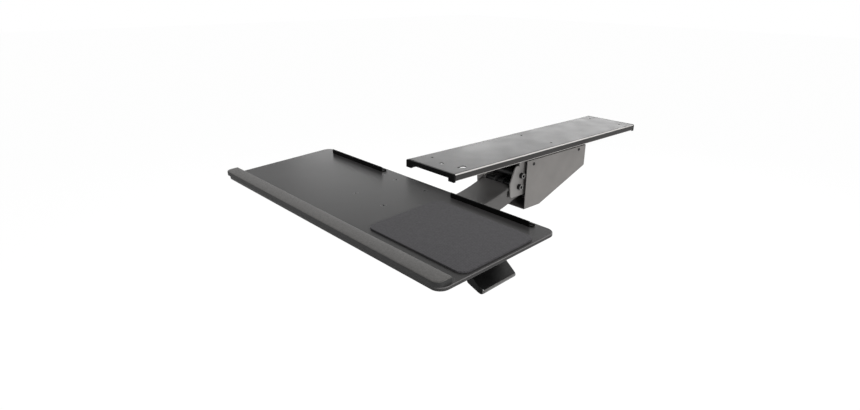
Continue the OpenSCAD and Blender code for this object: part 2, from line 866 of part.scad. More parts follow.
module lift_arm() {
    color("#6e6e6f") difference() {
        union() {
            both_sides() side_plate(arm_w / 2 - arm_t, arm_w / 2) arm_flange_outline();
            side_plate(-arm_w / 2 + arm_t, arm_w / 2 - arm_t) arm_web_outline();
        }
        across(main_pivot, cross_bolt_d / 2 + running_gap, -arm_w, arm_w);
        across(front_pivot, cross_bolt_d / 2 + fit, -arm_w, arm_w);
        side_plate(-arm_w, arm_w) translate(slot_centre) round_rect(slot_w, slot_h, slot_w / 2 - 0.1);
    }
}

module arm_crank() {
    inside = arm_w / 2 - arm_t;
    color("#6e6e6f") difference() {
        union() {
            across(main_pivot, arm_tube_d / 2, -inside, inside);
            both_sides() side_plate(crank_x, crank_x + crank_t) limb(main_pivot, 14, crank_pivot, 10);
        }
        across(main_pivot, cross_bolt_d / 2 + running_gap, -arm_w, arm_w);
        across(crank_pivot, gas_pin_d / 2 + fit, -arm_w, arm_w);
    }
}

module crank_pin() {
    plate_out = crank_x + crank_t;
    pin_out = plate_out + pin_head_h;
    color("#9a9b9d") {
        across(crank_pivot, gas_pin_d / 2, -pin_out, pin_out);
        both_sides() across(crank_pivot, gas_pin_d / 2 + 2.5, plate_out, pin_out);
    }
}

// Smooth brake sector on the tube at the arm's front end.
module brake_sector() {
    inside = arm_w / 2 - arm_t;
    far = 3 * sector_r;
    color("#8d8e90") difference() {
        union() {
            across(front_pivot, arm_tube_d / 2, -inside, inside);
            across(front_pivot, 14, -sector_t / 2, sector_t / 2);
            side_plate(-sector_t / 2, sector_t / 2) intersection() {
                translate(front_pivot) circle(sector_r);
                polygon([front_pivot, front_pivot + far * unit(100), front_pivot + far * unit(125),
                    front_pivot + far * unit(150)]);
            }
        }
        across(front_pivot, cross_bolt_d / 2 + fit, -arm_w, arm_w);
    }
}

module front_pivot_bolt() {
    color("#1c1c1d") {
        cross_bolt(front_pivot, arm_w / 2);
        cross_nut(front_pivot, arm_w / 2);
    }
}

module front_pivot_washers() {
    color("#e4e1d8") both_sides() tube_across(front_pivot, 26, arm_tube_d + 2 * fit,
        knuckle_w / 2 + side_gap, arm_w / 2 - arm_t - fit);
}

// Link

// Bar between the link's pivots, of a given half height, trimmed below by low.
module link_bar(low, high) {
    heading = atan2(link_front[1] - link_rear[1], link_front[0] - link_rear[0]);
    translate(link_rear) rotate(heading) translate([0, low]) square([arm_l, high - low]);
}

module parallel_link() {
    half = link_h / 2;
    inner = link_w / 2 - link_t;
    web_rear_y = link_rear[0] - 72;
    web_front_y = link_front[0] + 45;
    color("#6e6e6f") difference() {
        union() {
            both_sides() side_plate(inner, link_w / 2) {
                link_bar(-half, half);
                for (p = [link_rear, link_front]) translate(p) circle(12);
            }
            side_plate(-inner, inner) intersection() {
                link_bar(half - link_t, half);
                translate([web_front_y, -300]) square([web_rear_y - web_front_y, 300]);
            }
        }
        across(link_rear, cross_bolt_d / 2 + running_gap, -link_w, link_w);
        across(link_front, link_pin_r + link_pin_play, -link_w, link_w);
    }
}

// Tilt bracket

module knuckle_outline() {
    limb(tilt_axis, 13, front_pivot, 15);
    limb(front_pivot, 15, link_front, 12);
    polygon([[tilt_axis[0], knuckle_top], [knuckle_front_y, knuckle_top], [knuckle_front_y, knuckle_low],
        front_pivot - [6, 13.7], front_pivot]);
}

module tilt_bracket() {
    inner = knuckle_w / 2 - knuckle_t;
    tab_y = bar_rear_y + 2;
    color("#6e6e6f") difference() {
        union() {
            both_sides() side_plate(inner, knuckle_w / 2) knuckle_outline();
            translate([-inner, knuckle_front_y, knuckle_low])
                cube([2 * inner, knuckle_t, knuckle_top - knuckle_low]);
            translate([-inner, tab_y, lever_hinge[1] - 8])
                cube([lever_hinge[0] + inner + 7, knuckle_t, knuckle_top - lever_hinge[1] + 8]);
        }
        across(tilt_axis, cross_bolt_d / 2 + running_gap, -knuckle_w, knuckle_w);
        across(front_pivot, arm_tube_d / 2 + running_gap, -knuckle_w, knuckle_w);
        across(link_front, link_pin_r + fit, -knuckle_w, knuckle_w);
        translate([0, bar_front_y - notch_gap, bar_low - 2])
            cube([knuckle_w, lever_w + 2 * notch_gap, 60]);
        translate([lever_hinge[0], knuckle_front_y - cut, lever_hinge[1]]) rotate([-90, 0, 0])
            cylinder(d = lever_pin_d + 2 * fit, h = 80);
    }
}

module link_front_pin() {
    color("#9a9b9d") {
        across(link_front, link_pin_r, -knuckle_w / 2, knuckle_w / 2);
        both_sides() across(link_front, link_pin_r + 3, knuckle_w / 2, knuckle_w / 2 + pin_head_h);
    }
}

module lever_pin() {
    pin_front = knuckle_front_y - pin_head_h;
    pin_rear = bar_rear_y + 2 + knuckle_t + pin_head_h;
    color("#9a9b9d") translate([lever_hinge[0], pin_front, lever_hinge[1]]) rotate([-90, 0, 0]) {
        cylinder(d = lever_pin_d, h = pin_rear - pin_front);
        cylinder(d = lever_pin_d + 4, h = pin_head_h);
    }
}

// Return spring: path of its wire, [x, y, z] round the lever pin. One leg lies against the bracket's
// left side, the other ends just above the lever bar.
function coil_angle(i) = 360 * i / rings_per_turn;
function coil_point(i) =
    [coil_r * sin(coil_angle(i)), coil_pitch * i / rings_per_turn, coil_r * cos(coil_angle(i))];
function loose_leg_end() =
    [loose_leg_x, coil_pitch * coil_turns, bar_top - lever_hinge[1] + wire_r + loose_leg_gap];
function wire_path() = concat([[fixed_leg_x, 0, coil_r]], [for (i = [0:coil_steps]) coil_point(i)],
    [loose_leg_end()]);
function chord(a, b) = (b - a) / norm(b - a);
function direction(p, i) = chord(p[max(i - 1, 0)], p[min(i + 1, len(p) - 1)]);
function ring_side(i) = 360 * i / ring_sides;
function ring(p, i) = let (d = direction(p, i), u0 = cross(d, [0, 1, 0]), u = u0 / norm(u0), v = cross(d, u))
    [for (k = [0:ring_sides - 1]) p[i] + wire_r * (cos(ring_side(k)) * u + sin(ring_side(k)) * v)];
function ring_index(i, k) = i * ring_sides + k % ring_sides;

module wire(p) {
    last = len(p) - 1;
    points = [for (i = [0:last]) each ring(p, i)];
    walls = [for (i = [0:last - 1], k = [0:ring_sides - 1]) each [
        [ring_index(i, k), ring_index(i, k + 1), ring_index(i + 1, k + 1)],
        [ring_index(i, k), ring_index(i + 1, k + 1), ring_index(i + 1, k)]]];
    fan = [1:ring_sides - 2];
    first = [for (k = fan) [ring_index(0, 0), ring_index(0, k + 1), ring_index(0, k)]];
    end = [for (k = fan) [ring_index(last, 0), ring_index(last, k), ring_index(last, k + 1)]];
    polyhedron(points, concat(walls, first, end));
}

// Least gap of the wire to itself, between turns that are at least half a turn apart.
function wire_gap(p) =
    min([for (i = [0:len(p) - 1], j = [i + 5:1:len(p) - 1]) norm(p[i] - p[j])]) - 2 * wire_r;

module lever_return_spring() {
    path = wire_path();
    echo(lever_return_spring_gap = wire_gap(path));
    color("#b5b6b8") translate([lever_hinge[0], coil_start_y, lever_hinge[1]]) wire(path);
}

// Lever

// Lever bar seen from the front: level, then down into the grip.
module lever_line(t_up, t_down, x0, x1) {
    drop = (x1 - grip_bar_x) * tan(grip_slope);
    polygon([[x0, bar_top + t_up], [grip_bar_x, bar_top + t_up], [x1, bar_top + t_up - drop],
        [x1, bar_low - t_down - drop], [grip_bar_x, bar_low - t_down], [x0, bar_low - t_down]]);
}

module release_lever() {
    spring_room = [coil_start_y - 2.5, coil_start_y + coil_pitch * coil_turns + 2.5];
    color("#6e6e6f") difference() {
        union() {
            front_plate(bar_front_y, bar_rear_y) lever_line(0, 0, lever_hinge[0], bar_end_x);
            translate([lever_hinge[0], bar_front_y, lever_hinge[1]]) rotate([-90, 0, 0])
                cylinder(r = barrel_r, h = lever_w);
        }
        translate([lever_hinge[0], bar_front_y - cut, lever_hinge[1]]) rotate([-90, 0, 0])
            cylinder(d = lever_pin_d + 2 * running_gap, h = lever_w + 2 * cut);
        translate([lever_hinge[0] - 10, spring_room[0], lever_hinge[1] - 10])
            cube([18, spring_room[1] - spring_room[0], 20]);
    }
}

module brake_pad() {
    color("#3a3532") difference() {
        translate([-pad_x, pad_y[0], bar_low - 12]) cube([2 * pad_x, pad_y[1] - pad_y[0], 12]);
        across(front_pivot, sector_r + pad_gap, -pad_x - cut, pad_x + cut);
    }
}

// Body of the grip: a wedge that holds the bar's end and runs out into a round lip.
module grip_body() {
    x0 = grip_bar_x - 4;
    lip_foot = lip_centre - [1, grip_t / 2 - 2 * side_inset];
    front_plate(-grip_w, grip_w) polygon([[x0, bar_top + grip_wall], [grip_knee_x, bar_top + grip_wall],
        lip_shoulder, lip_foot, grip_heel, [x0, bar_low - grip_wall]]);
    translate([lip_centre[0], -grip_w, lip_centre[1]]) rotate([-90, 0, 0])
        cylinder(d = grip_t, h = 2 * grip_w);
}

// The body is turned a little, so the lip's front corner leads, and cut to straight sides.
module lever_grip() {
    middle_y = (grip_front_y + grip_rear_y) / 2;
    far = 2 * grip_w;
    color("#151516") difference() {
        intersection() {
            translate([lever_reach, middle_y, 0]) rotate(grip_turn) translate([-lever_reach, 0, 0])
                grip_body();
            translate([lever_reach + grip_lead - far / 2, middle_y, -200]) linear_extrude(200)
                round_rect(far, grip_w, grip_corner_r);
        }
        front_plate(bar_front_y - fit, bar_rear_y + fit) lever_line(fit, fit, 0, bar_end_x + fit);
    }
}

// Tray

module tray_bracket() {
    ear_front = tilt_local[0] - 42;
    color("#6e6e6f") on_tray() difference() {
        union() {
            translate([-bracket_w / 2, bracket_front, -tray_t - bracket_t])
                cube([bracket_w, bracket_rear - bracket_front, bracket_t]);
            both_sides() side_plate(tray_ear_x, tray_ear_x + bracket_t) {
                translate(tilt_local) circle(ear_r);
                polygon([[ear_front, -tray_t - bracket_t / 2],
                    tilt_local + [ear_r, tilt_drop - bracket_t / 2],
                    tilt_local + [ear_r, 0], tilt_local - [ear_r, 0]]);
            }
        }
        across(tilt_local, cross_bolt_d / 2 + fit, -bracket_w, bracket_w);
        tray_screw_places() translate([0, 0, -tray_t - bracket_t - cut])
            cylinder(d = tray_screw_d + 2 * fit, h = bracket_t + 2 * cut);
    }
}

module tray_screw_places() {
    for (x = [-1, 1], y = [0, 1])
        translate([x * tray_screw_span / 2, -tray_screw_in - y * tray_screw_pitch, 0]) children();
}

module tilt_bolt() {
    color("#1c1c1d") {
        cross_bolt(tilt_axis, tray_ear_x + bracket_t);
        cross_nut(tilt_axis, tray_ear_x + bracket_t);
    }
}

module tilt_washers() {
    color("#e4e1d8") both_sides() tube_across(tilt_axis, 20, cross_bolt_d + 2 * fit,
        knuckle_w / 2 + side_gap, tray_ear_x - fit);
}

module tray_platform() {
    color("#6a6a6b") on_tray() difference() {
        translate([0, -tray_d / 2, -tray_t]) soft_slab(tray_w, tray_d, tray_t, tray_corner_r, tray_edge_r);
        tray_screw_places() {
            bore_d = tray_screw_d + 2 * fit;
            translate([0, 0, -tray_t - cut]) cylinder(d = bore_d, h = tray_t + 2 * cut);
            translate([0, 0, -sink_h]) cylinder(d1 = bore_d, d2 = sink_d + 2 * fit, h = sink_h);
            translate([0, 0, -0.01]) cylinder(d = sink_d + 2 * fit, h = cut);
        }
    }
}

module tray_screws() {
    shank_l = tray_t + bracket_t + tray_nut_h + 1;
    color("#3a3a3b") on_tray() tray_screw_places() difference() {
        union() {
            translate([0, 0, -shank_l]) cylinder(d = tray_screw_d, h = shank_l - sink_h);
            translate([0, 0, -sink_h]) cylinder(d1 = tray_screw_d, d2 = sink_d, h = sink_h);
        }
        translate([0, 0, -2]) cylinder(d = 3.6, h = 2 + cut, $fn = 6);
    }
}

module tray_nuts() {
    color("#8d8e90") on_tray() tray_screw_places() translate([0, 0, -tray_t - bracket_t - tray_nut_h])
        hex_nut(1.6 * tray_screw_d, tray_nut_h, tray_screw_d + fit);
}

// Palm rest: its section runs along X, its ends are rounded in plan at the front.
module palm_rest() {
    front = -tray_d;
    color("#4e4e50") on_tray() translate([-rest_shift, 0, 0]) intersection() {
        side_plate(-rest_w / 2, rest_w / 2) union() {
            translate([front, 0]) square([rest_d - 1, rest_h - rest_edge_r]);
            translate([front + rest_edge_r, 0]) square([rest_d - rest_edge_r - 1, rest_h]);
            translate([front + rest_edge_r, rest_h - rest_edge_r]) circle(rest_edge_r);
            translate([front, 0]) square([rest_d, rest_h - 1]);
            translate([front + rest_d - 1, rest_h - 1]) circle(1);
        }
        translate([0, front + rest_d, -cut]) linear_extrude(rest_h + 2 * cut)
            round_rect(rest_w, 2 * rest_d, rest_corner_r);
    }
}

module mouse_pad() {
    right = tray_w / 2 - pad_in;
    color("#525054") on_tray() translate([right - pad_w / 2, -pad_back_in - pad_d / 2, 0])
        soft_slab(pad_w, pad_d, pad_t, pad_corner_r, pad_t / 3);
}

// Rear stop whose left end is at x: a wall on a foot with a low rim, which run on past its right end.
module rear_stop(x) {
    foot_t = 2;
    rim_t = 1.5;
    overrun = 5;
    on_tray() translate([x, -stop_back_in, 0]) {
        cube([stop_l, stop_t, stop_h]);
        translate([0, stop_t, 0]) cube([stop_l + overrun, stop_foot - stop_t, foot_t]);
        translate([0, stop_foot - rim_t, foot_t]) cube([stop_l + overrun, rim_t, rim_t]);
    }
}

module rear_stop_left() {
    color("#19191a") rear_stop(stop_in - tray_w / 2);
}

module rear_stop_right() {
    color("#19191a") rear_stop(tray_w / 2 - stop_in - stop_l);
}

track_channel();
track_front_cap();
track_rear_cap();
carriage_plate();
slide_shoes();
swivel_bolt();
swivel_nut();
bearing_ring();
head_bracket();
mechanism_cover();
cover_screws();
upper_tie_bolt();
tie_tube();
main_pivot_bolt();
cross_bolt_nuts();
link_pivot_bolts();
gas_spring_rear_pin();
main_pivot_washers();
gas_spring_cylinder();
gas_spring_rod();
gas_spring_eye();
lift_arm();
arm_crank();
crank_pin();
brake_sector();
front_pivot_bolt();
front_pivot_washers();
parallel_link();
tilt_bracket();
link_front_pin();
lever_pin();
lever_return_spring();
release_lever();
brake_pad();
lever_grip();
tray_bracket();
tilt_bolt();
tilt_washers();
tray_platform();
tray_screws();
tray_nuts();
palm_rest();
mouse_pad();
rear_stop_left();
rear_stop_right();
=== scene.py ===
"""Dresses a keyboard tray that slides, turns and lifts under a desk, and lights it for its picture.

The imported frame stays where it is. The soft, moulded and wound pieces are modelled again over it.
Sizes in the classes are in millimetres, in the frame's own directions: X right, Y back, Z up.
"""

import logging
import math
from dataclasses import dataclass
from enum import Enum
from typing import Callable, Sequence

import bmesh
import bpy
from mathutils import Euler, Matrix, Vector


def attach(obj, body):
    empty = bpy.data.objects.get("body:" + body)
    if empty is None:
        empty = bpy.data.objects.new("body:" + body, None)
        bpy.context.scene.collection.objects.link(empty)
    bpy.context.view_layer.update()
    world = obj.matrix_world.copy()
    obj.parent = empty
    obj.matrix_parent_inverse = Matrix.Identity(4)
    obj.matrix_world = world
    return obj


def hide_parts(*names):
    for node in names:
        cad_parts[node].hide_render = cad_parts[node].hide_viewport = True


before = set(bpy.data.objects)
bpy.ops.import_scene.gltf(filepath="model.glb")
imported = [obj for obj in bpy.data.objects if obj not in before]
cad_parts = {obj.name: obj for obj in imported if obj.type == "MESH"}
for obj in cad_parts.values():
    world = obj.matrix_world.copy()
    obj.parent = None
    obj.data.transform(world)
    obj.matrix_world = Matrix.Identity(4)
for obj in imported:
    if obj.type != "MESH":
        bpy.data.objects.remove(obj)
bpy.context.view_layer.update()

MM = 0.001
NEAR = 0.01  # slack in millimetres, where a place is compared with a face
REACH = 0.1  # the same, where more room is left
FACING = 0.9  # a face looks along an axis where its normal's share of it is larger
OVER = 1  # how far a cutting tool reaches past what it cuts, in millimetres
WHITE = (1, 1, 1, 1)
Point = tuple[float, float, float]
Spot = tuple[float, float]
Colour = Sequence[float]
Socket = bpy.types.NodeSocket
log = logging.getLogger("tray")


# Finishes


class NodeSheet:
    """A node tree, filled node by node. Its tools take and give sockets."""

    def __init__(self, owner: bpy.types.Material | bpy.types.World) -> None:
        """Empties a node tree.

        Args:
            owner: The material or world that has the tree.
        """
        owner.use_nodes = True
        self.owner = owner
        self.tree = owner.node_tree
        self.tree.nodes.clear()

    def add(self, kind: str, inputs: dict | None = None, **settings: object) -> bpy.types.Node:
        """Adds a node.

        Args:
            kind: The node's type.
            inputs: What its inputs get, by name or number: a socket to link or a value.
            settings: The node's own properties.

        Returns:
            The new node.
        """
        node = self.tree.nodes.new(kind)
        for key, value in settings.items():
            setattr(node, key, value)
        self.feed(node, inputs or {})
        return node

    def feed(self, node: bpy.types.Node, inputs: dict) -> None:
        """Links or sets some of a node's inputs, by name or number."""
        for key, value in inputs.items():
            if isinstance(value, Socket):
                self.tree.links.new(value, node.inputs[key])
            else:
                node.inputs[key].default_value = value

    def calculate(self, operation: str, first: Socket | float, second: Socket | float,
                  clamp: bool = False) -> Socket:
        """Gives the result of a Math node, kept between 0 and 1 where clamp is set."""
        terms = {0: first, 1: second}
        return self.add("ShaderNodeMath", terms, operation=operation, use_clamp=clamp).outputs["Value"]

    def place(self, scale: Point = (1, 1, 1), turn: Point = (0, 0, 0)) -> Socket:
        """Gives Object coordinates, scaled and turned by an angle in radians about each axis."""
        coordinates = self.add("ShaderNodeTexCoord").outputs["Object"]
        inputs = {"Vector": coordinates, "Scale": scale, "Rotation": turn}
        return self.add("ShaderNodeMapping", inputs).outputs["Vector"]

    def noise(self, grain_mm: float, detail: float = 3, stretch: Point = (1, 1, 1)) -> Socket:
        """Gives noise.

        Args:
            grain_mm: Width of a feature.
            detail: Number of finer layers.
            stretch: Scale along each axis before the noise.

        Returns:
            The noise, mostly between 0.3 and 0.7.
        """
        inputs = {"Vector": self.place(stretch), "Scale": 1000 / grain_mm, "Detail": detail}
        return self.add("ShaderNodeTexNoise", inputs).outputs["Fac"]

    def spread(self, source: Socket, low: float, high: float, start: float = 0.3, end: float = 0.7) -> Socket:
        """Maps the values from start to end to the range from low to high."""
        inputs = {"Value": source, "From Min": start, "From Max": end, "To Min": low, "To Max": high}
        return self.add("ShaderNodeMapRange", inputs).outputs["Result"]

    def mix(self, share: Socket, first: Socket | Colour, second: Colour) -> Socket:
        """Mixes two colours, the first one at a share of 0 and the second one at 1."""
        inputs = {"Factor": share, "A": first, "B": second}
        return self.add("ShaderNodeMix", inputs, data_type="RGBA").outputs["Result"]

    def edges(self, radius_mm: float, worn: float) -> tuple[Socket, Socket]:
        """Rounds the edges in the shading and finds where they are.

        Args:
            radius_mm: Radius of the rounding.
            worn: How much the wear breaks up, from 0 to 1.

        Returns:
            The rounded normal, and a mask that is 1 on an edge, broken into patches, and 0 on a flat face.
            Coats lighten their colour there, partly as wear and partly as a painted edge highlight.
        """
        soft = self.add("ShaderNodeBevel", {"Radius": radius_mm * MM}, samples=6).outputs["Normal"]
        plain = self.add("ShaderNodeNewGeometry").outputs["Normal"]
        turn = self.add("ShaderNodeVectorMath", {0: soft, 1: plain}, operation="DOT_PRODUCT").outputs["Value"]
        edge = self.spread(turn, 1, 0, 0.75, 0.99)
        patches = self.spread(self.noise(9, 4), 1 - worn, 1, 0.4, 0.6)
        return soft, self.calculate("MULTIPLY", edge, patches)

    def fold_highlight_mask(self) -> Socket:
        """Gives a painted-highlight mask: 1 on rounded edges and on each fold, where the surface turns from
        level to upright, else 0.
        """
        normal = self.add("ShaderNodeNewGeometry").outputs["Normal"]
        rise = self.add("ShaderNodeSeparateXYZ", {"Vector": normal}).outputs["Z"]
        level = self.calculate("MULTIPLY", rise, rise)
        upright = self.calculate("SUBTRACT", 1.0, level)
        return self.spread(self.calculate("MULTIPLY", level, upright), 0, 1, 0.08, 0.2)

    def bump(self, height: Socket, depth_mm: float, strength: float, normal: Socket | None = None) -> Socket:
        """Raises the surface by a pattern.

        Args:
            height: The pattern.
            depth_mm: Height of the relief.
            strength: Share of the relief that shows.
            normal: The normal that it starts from, where it isn't the surface's own.

        Returns:
            The raised normal.
        """
        inputs = {"Height": height, "Strength": strength, "Distance": depth_mm * MM}
        if normal is not None:
            inputs["Normal"] = normal
        return self.add("ShaderNodeBump", inputs).outputs["Normal"]

    def seen(self) -> Socket:
        """Gives 1 to rays from the camera, off gloss and through glass, and 0 to others."""
        path = self.add("ShaderNodeLightPath").outputs
        total = self.calculate("ADD", path["Is Camera Ray"], path["Is Glossy Ray"], clamp=True)
        return self.calculate("ADD", total, path["Is Transmission Ray"], clamp=True)


class PaintSheet(NodeSheet):
    """A new material's node tree round one shader."""

    def __init__(self, name: str) -> None:
        """Starts the material.

        Args:
            name: Its name.
        """
        super().__init__(bpy.data.materials.new(name))
        self.shader = self.add("ShaderNodeBsdfPrincipled")
        self.output = self.add("ShaderNodeOutputMaterial", {"Surface": self.shader.outputs["BSDF"]})

    def finish(self, inputs: dict) -> bpy.types.Material:
        """Gives the shader its inputs and returns the material."""
        self.feed(self.shader, inputs)
        return self.owner


def shade(colour: Colour, factor: float) -> tuple[float, float, float, float]:
    """Gives a colour made lighter or darker by a factor, with full cover."""
    red, green, blue = (min(1.0, c * factor) for c in colour)
    return red, green, blue, 1.0


@dataclass(frozen=True)
class Coat:
    """Paint or moulded plastic: an even colour with a fine grain, faint clouds, edges lightened by wear and
    by a painted highlight, and, where set, a painted highlight on each fold.
    """

    name: str
    colour: Point
    roughness: float = 0.45
    grain_mm: float = 0.5
    relief_mm: float = 0.03
    clouds_mm: float = 60
    contrast: float = 0.12
    specular: float = 0.5
    edge_mm: float = 0.5
    wear: float = 0.6
    # Gain of the lighter edges: partly paint worn through, partly a painted highlight.
    edge_wear_and_highlight_gain: float = 1.8
    # Gain of a painted highlight on each fold and rounded rim; 0 leaves none.
    fold_highlight_gain: float = 0
    gloss_swing: float = 0.04
    relief_share: float = 0.6

    def make(self) -> bpy.types.Material:
        """Builds the material and returns it."""
        sheet = PaintSheet(self.name)
        clouds = sheet.noise(self.clouds_mm, 2)
        dark, light = (shade(self.colour, 1 + side * self.contrast) for side in (-1, 1))
        colour = sheet.mix(sheet.spread(clouds, 0, 1), dark, light)
        soft, worn = sheet.edges(self.edge_mm, self.wear)
        # Edges get lighter: partly wear, partly a painted highlight along the edge.
        colour = sheet.mix(worn, colour, shade(self.colour, self.edge_wear_and_highlight_gain))
        # Painted highlight: each fold and rounded rim is mixed towards a lighter colour.
        if self.fold_highlight_gain:
            colour = sheet.mix(sheet.fold_highlight_mask(), colour, shade(self.colour, self.fold_highlight_gain))
        matt = sheet.spread(clouds, self.roughness - self.gloss_swing, self.roughness + self.gloss_swing)
        normal = sheet.bump(sheet.noise(self.grain_mm, 2), self.relief_mm, self.relief_share, soft)
        return sheet.finish({"Base Color": colour, "Roughness": matt, "Specular IOR Level": self.specular,
                             "Normal": normal})


@dataclass(frozen=True)
class Steel:
    """Bare or plated steel, brushed along one axis."""

    name: str
    colour: Point
    roughness: float = 0.3
    brush: Point = (0.05, 1, 1)
    line_mm: float = 0.3
    relief_mm: float = 0.01
    relief_share: float = 0.4
    tones: Spot = (0.8, 1.1)
    gloss_swing: Spot = (-0.07, 0.1)

    def make(self) -> bpy.types.Material:
        """Builds the material and returns it."""
        sheet = PaintSheet(self.name)
        lines = sheet.noise(self.line_mm, 3, self.brush)
        dark, light = (shade(self.colour, tone) for tone in self.tones)
        matt = sheet.spread(lines, *(self.roughness + swing for swing in self.gloss_swing))
        normal = sheet.bump(lines, self.relief_mm, self.relief_share)
        return sheet.finish({"Base Color": sheet.mix(sheet.spread(lines, 0, 1), dark, light),
                             "Roughness": matt, "Metallic": 1, "Normal": normal})


@dataclass(frozen=True)
class Foam:
    """Soft moulded skin with a pebbled grain and a finer one on it."""

    name: str
    colour: Point
    pebble_mm: float = 1.1
    relief_mm: float = 0.18
    roughness: float = 0.62
    fleck_mm: float = 5
    sheen: float = 0.15
    specular: float = 0.5
    tones: Spot = (0.78, 1.22)
    relief_share: float = 0.7
    fine_mm: float = 0.35
    fine_relief_mm: float = 0.04
    fine_share: float = 0.5
    matt_rise: float = 0.15

    def make(self) -> bpy.types.Material:
        """Builds the material and returns it."""
        sheet = PaintSheet(self.name)
        inputs = {"Vector": sheet.place(), "Scale": 1000 / self.pebble_mm}
        pebble = sheet.add("ShaderNodeTexVoronoi", inputs, feature="F1").outputs["Distance"]
        level = sheet.spread(sheet.noise(self.fleck_mm, 4), 0, 1)
        dark, light = (shade(self.colour, tone) for tone in self.tones)
        matt = sheet.spread(pebble, self.roughness, self.roughness + self.matt_rise, 0, 0.6)
        pebbled = sheet.bump(pebble, -self.relief_mm, self.relief_share)
        normal = sheet.bump(sheet.noise(self.fine_mm, 2), self.fine_relief_mm, self.fine_share, pebbled)
        return sheet.finish({"Base Color": sheet.mix(level, dark, light), "Roughness": matt, "Normal": normal,
                             "Sheen Weight": self.sheen, "Specular IOR Level": self.specular})


@dataclass(frozen=True)
class Cloth:
    """Fine woven face of the mouse pad."""

    name: str
    colour: Point
    thread_mm: float = 0.55
    relief_mm: float = 0.08
    relief_share: float = 0.6
    turn: float = math.radians(3.12)
    fleck_mm: float = 5
    fleck_range: Spot = (-0.2, 0.5)
    tones: Spot = (0.75, 1.25)
    roughness: float = 0.85
    specular: float = 0.2
    sheen: float = 0.12
    sheen_roughness: float = 0.5

    def make(self) -> bpy.types.Material:
        """Builds the material and returns it."""
        sheet = PaintSheet(self.name)
        bands = [self.band(sheet, axis) for axis in ("X", "Y")]
        weave = sheet.calculate("MULTIPLY", *bands)
        flecks = sheet.spread(sheet.noise(self.fleck_mm, 5), *self.fleck_range)
        level = sheet.calculate("ADD", weave, flecks)
        dark, light = (shade(self.colour, tone) for tone in self.tones)
        normal = sheet.bump(weave, self.relief_mm, self.relief_share)
        return sheet.finish({"Base Color": sheet.mix(level, dark, light), "Roughness": self.roughness,
                             "Specular IOR Level": self.specular, "Sheen Weight": self.sheen,
                             "Sheen Roughness": self.sheen_roughness, "Normal": normal})

    def band(self, sheet: PaintSheet, axis: str) -> Socket:
        """Gives the threads that follow one another along an axis. A wave is a twentieth of a unit long."""
        inputs = {"Vector": sheet.place(turn=(-self.turn, 0, 0)), "Scale": 1000 / self.thread_mm / 20,
                  "Distortion": 0.6, "Detail": 1.0, "Detail Scale": 2.0}
        return sheet.add("ShaderNodeTexWave", inputs, bands_direction=axis).outputs["Fac"]


# Painted highlight: the track's fold gain lightens its rounded fold edges.
TRACK_PAINT = Coat("track_paint", (0.034, 0.033, 0.032), 0.32, 0.6, specular=0.12, fold_highlight_gain=18)
BRACKET_PAINT = Coat("bracket_paint", (0.19, 0.183, 0.177), 0.45, 0.6)
COVER_PAINT = Coat("cover_paint", (0.155, 0.147, 0.14), 0.45, 0.6)
ARM_PAINT = Coat("arm_paint", (0.095, 0.092, 0.09), 0.38, 0.6, specular=0.15)
# Painted shade: the tie tube, crank and link between the plates are made near black, for the shade they sit
# in.
INNER_SHADE_BLACK = Coat("inner_paint", (0.02, 0.02, 0.02), 0.4, 0.6, specular=0.3)
# Painted highlight: the board's fold gain draws a light line along its rounded rim.
BOARD = Coat("tray_board", (0.036, 0.035, 0.035), 0.32, 0.8, 0.02, 90, 0.1, specular=0.12, fold_highlight_gain=3.5)
CAP_PLASTIC = Coat("cap_plastic", (0.004, 0.004, 0.004), 0.5, 0.4, specular=0.05)
GRIP_PLASTIC = Coat("grip_plastic", (0.002, 0.002, 0.002), 0.34, 0.5, 0.006, 30, specular=0.1)
# Painted highlight: a lighter, glossier copy of the grip's plastic for the faces of its lip that look outward
# and down.
GRIP_LIP_HIGHLIGHT = Coat("grip_lip", (0.07, 0.068, 0.066), 0.28, 0.5, 0.004, 20, specular=0.6)
STOP_PLASTIC = Coat("stop_plastic", (0.002, 0.002, 0.002), 0.4, 0.4, 0.02, 30, specular=0.08)
PAD_RUBBER = Coat("pad_rubber_foot", (0.03, 0.029, 0.031), 0.7, 0.5, 0.05, 20, specular=0.2)
FASTENER = Coat("black_fastener", (0.005, 0.005, 0.005), 0.35, 0.3, 0.02, 8, 0.2, specular=0.3)
# Painted highlight: a grey for the flat outer face of a black bolt head, lit like the cheek beside it.
BOLT_FACE_HIGHLIGHT = Coat("ground_face", (0.13, 0.126, 0.122), 0.5, 0.3, 0.02, 6, 0.12)
SPRING_PAINT = Coat("spring_paint", (0.012, 0.012, 0.012), 0.2, 2.0, 0.01)
NYLON = Coat("nylon", (0.72, 0.70, 0.64), 0.4, 0.8, 0.02, edge_wear_and_highlight_gain=1.05)
LINING = Coat("brake_lining", (0.05, 0.042, 0.036), 0.8, 0.5, 0.1, 3, 0.35)
ZINC = Steel("zinc_steel", (0.55, 0.56, 0.57), 0.32)
BRIGHT = Steel("bright_steel", (0.70, 0.71, 0.72), 0.18)
REST_FOAM = Foam("rest_foam", (0.058, 0.055, 0.052))
# Painted shade: a darker copy of the rest's foam for its steep sides.
REST_SIDE_SHADE = Foam("rest_side", (0.018, 0.018, 0.018), 0.8, 0.08, 0.5, sheen=0.02, specular=0.3)
PAD_CLOTH = Cloth("pad_cloth", (0.045, 0.043, 0.047))

Finish = Coat | Steel | Foam | Cloth

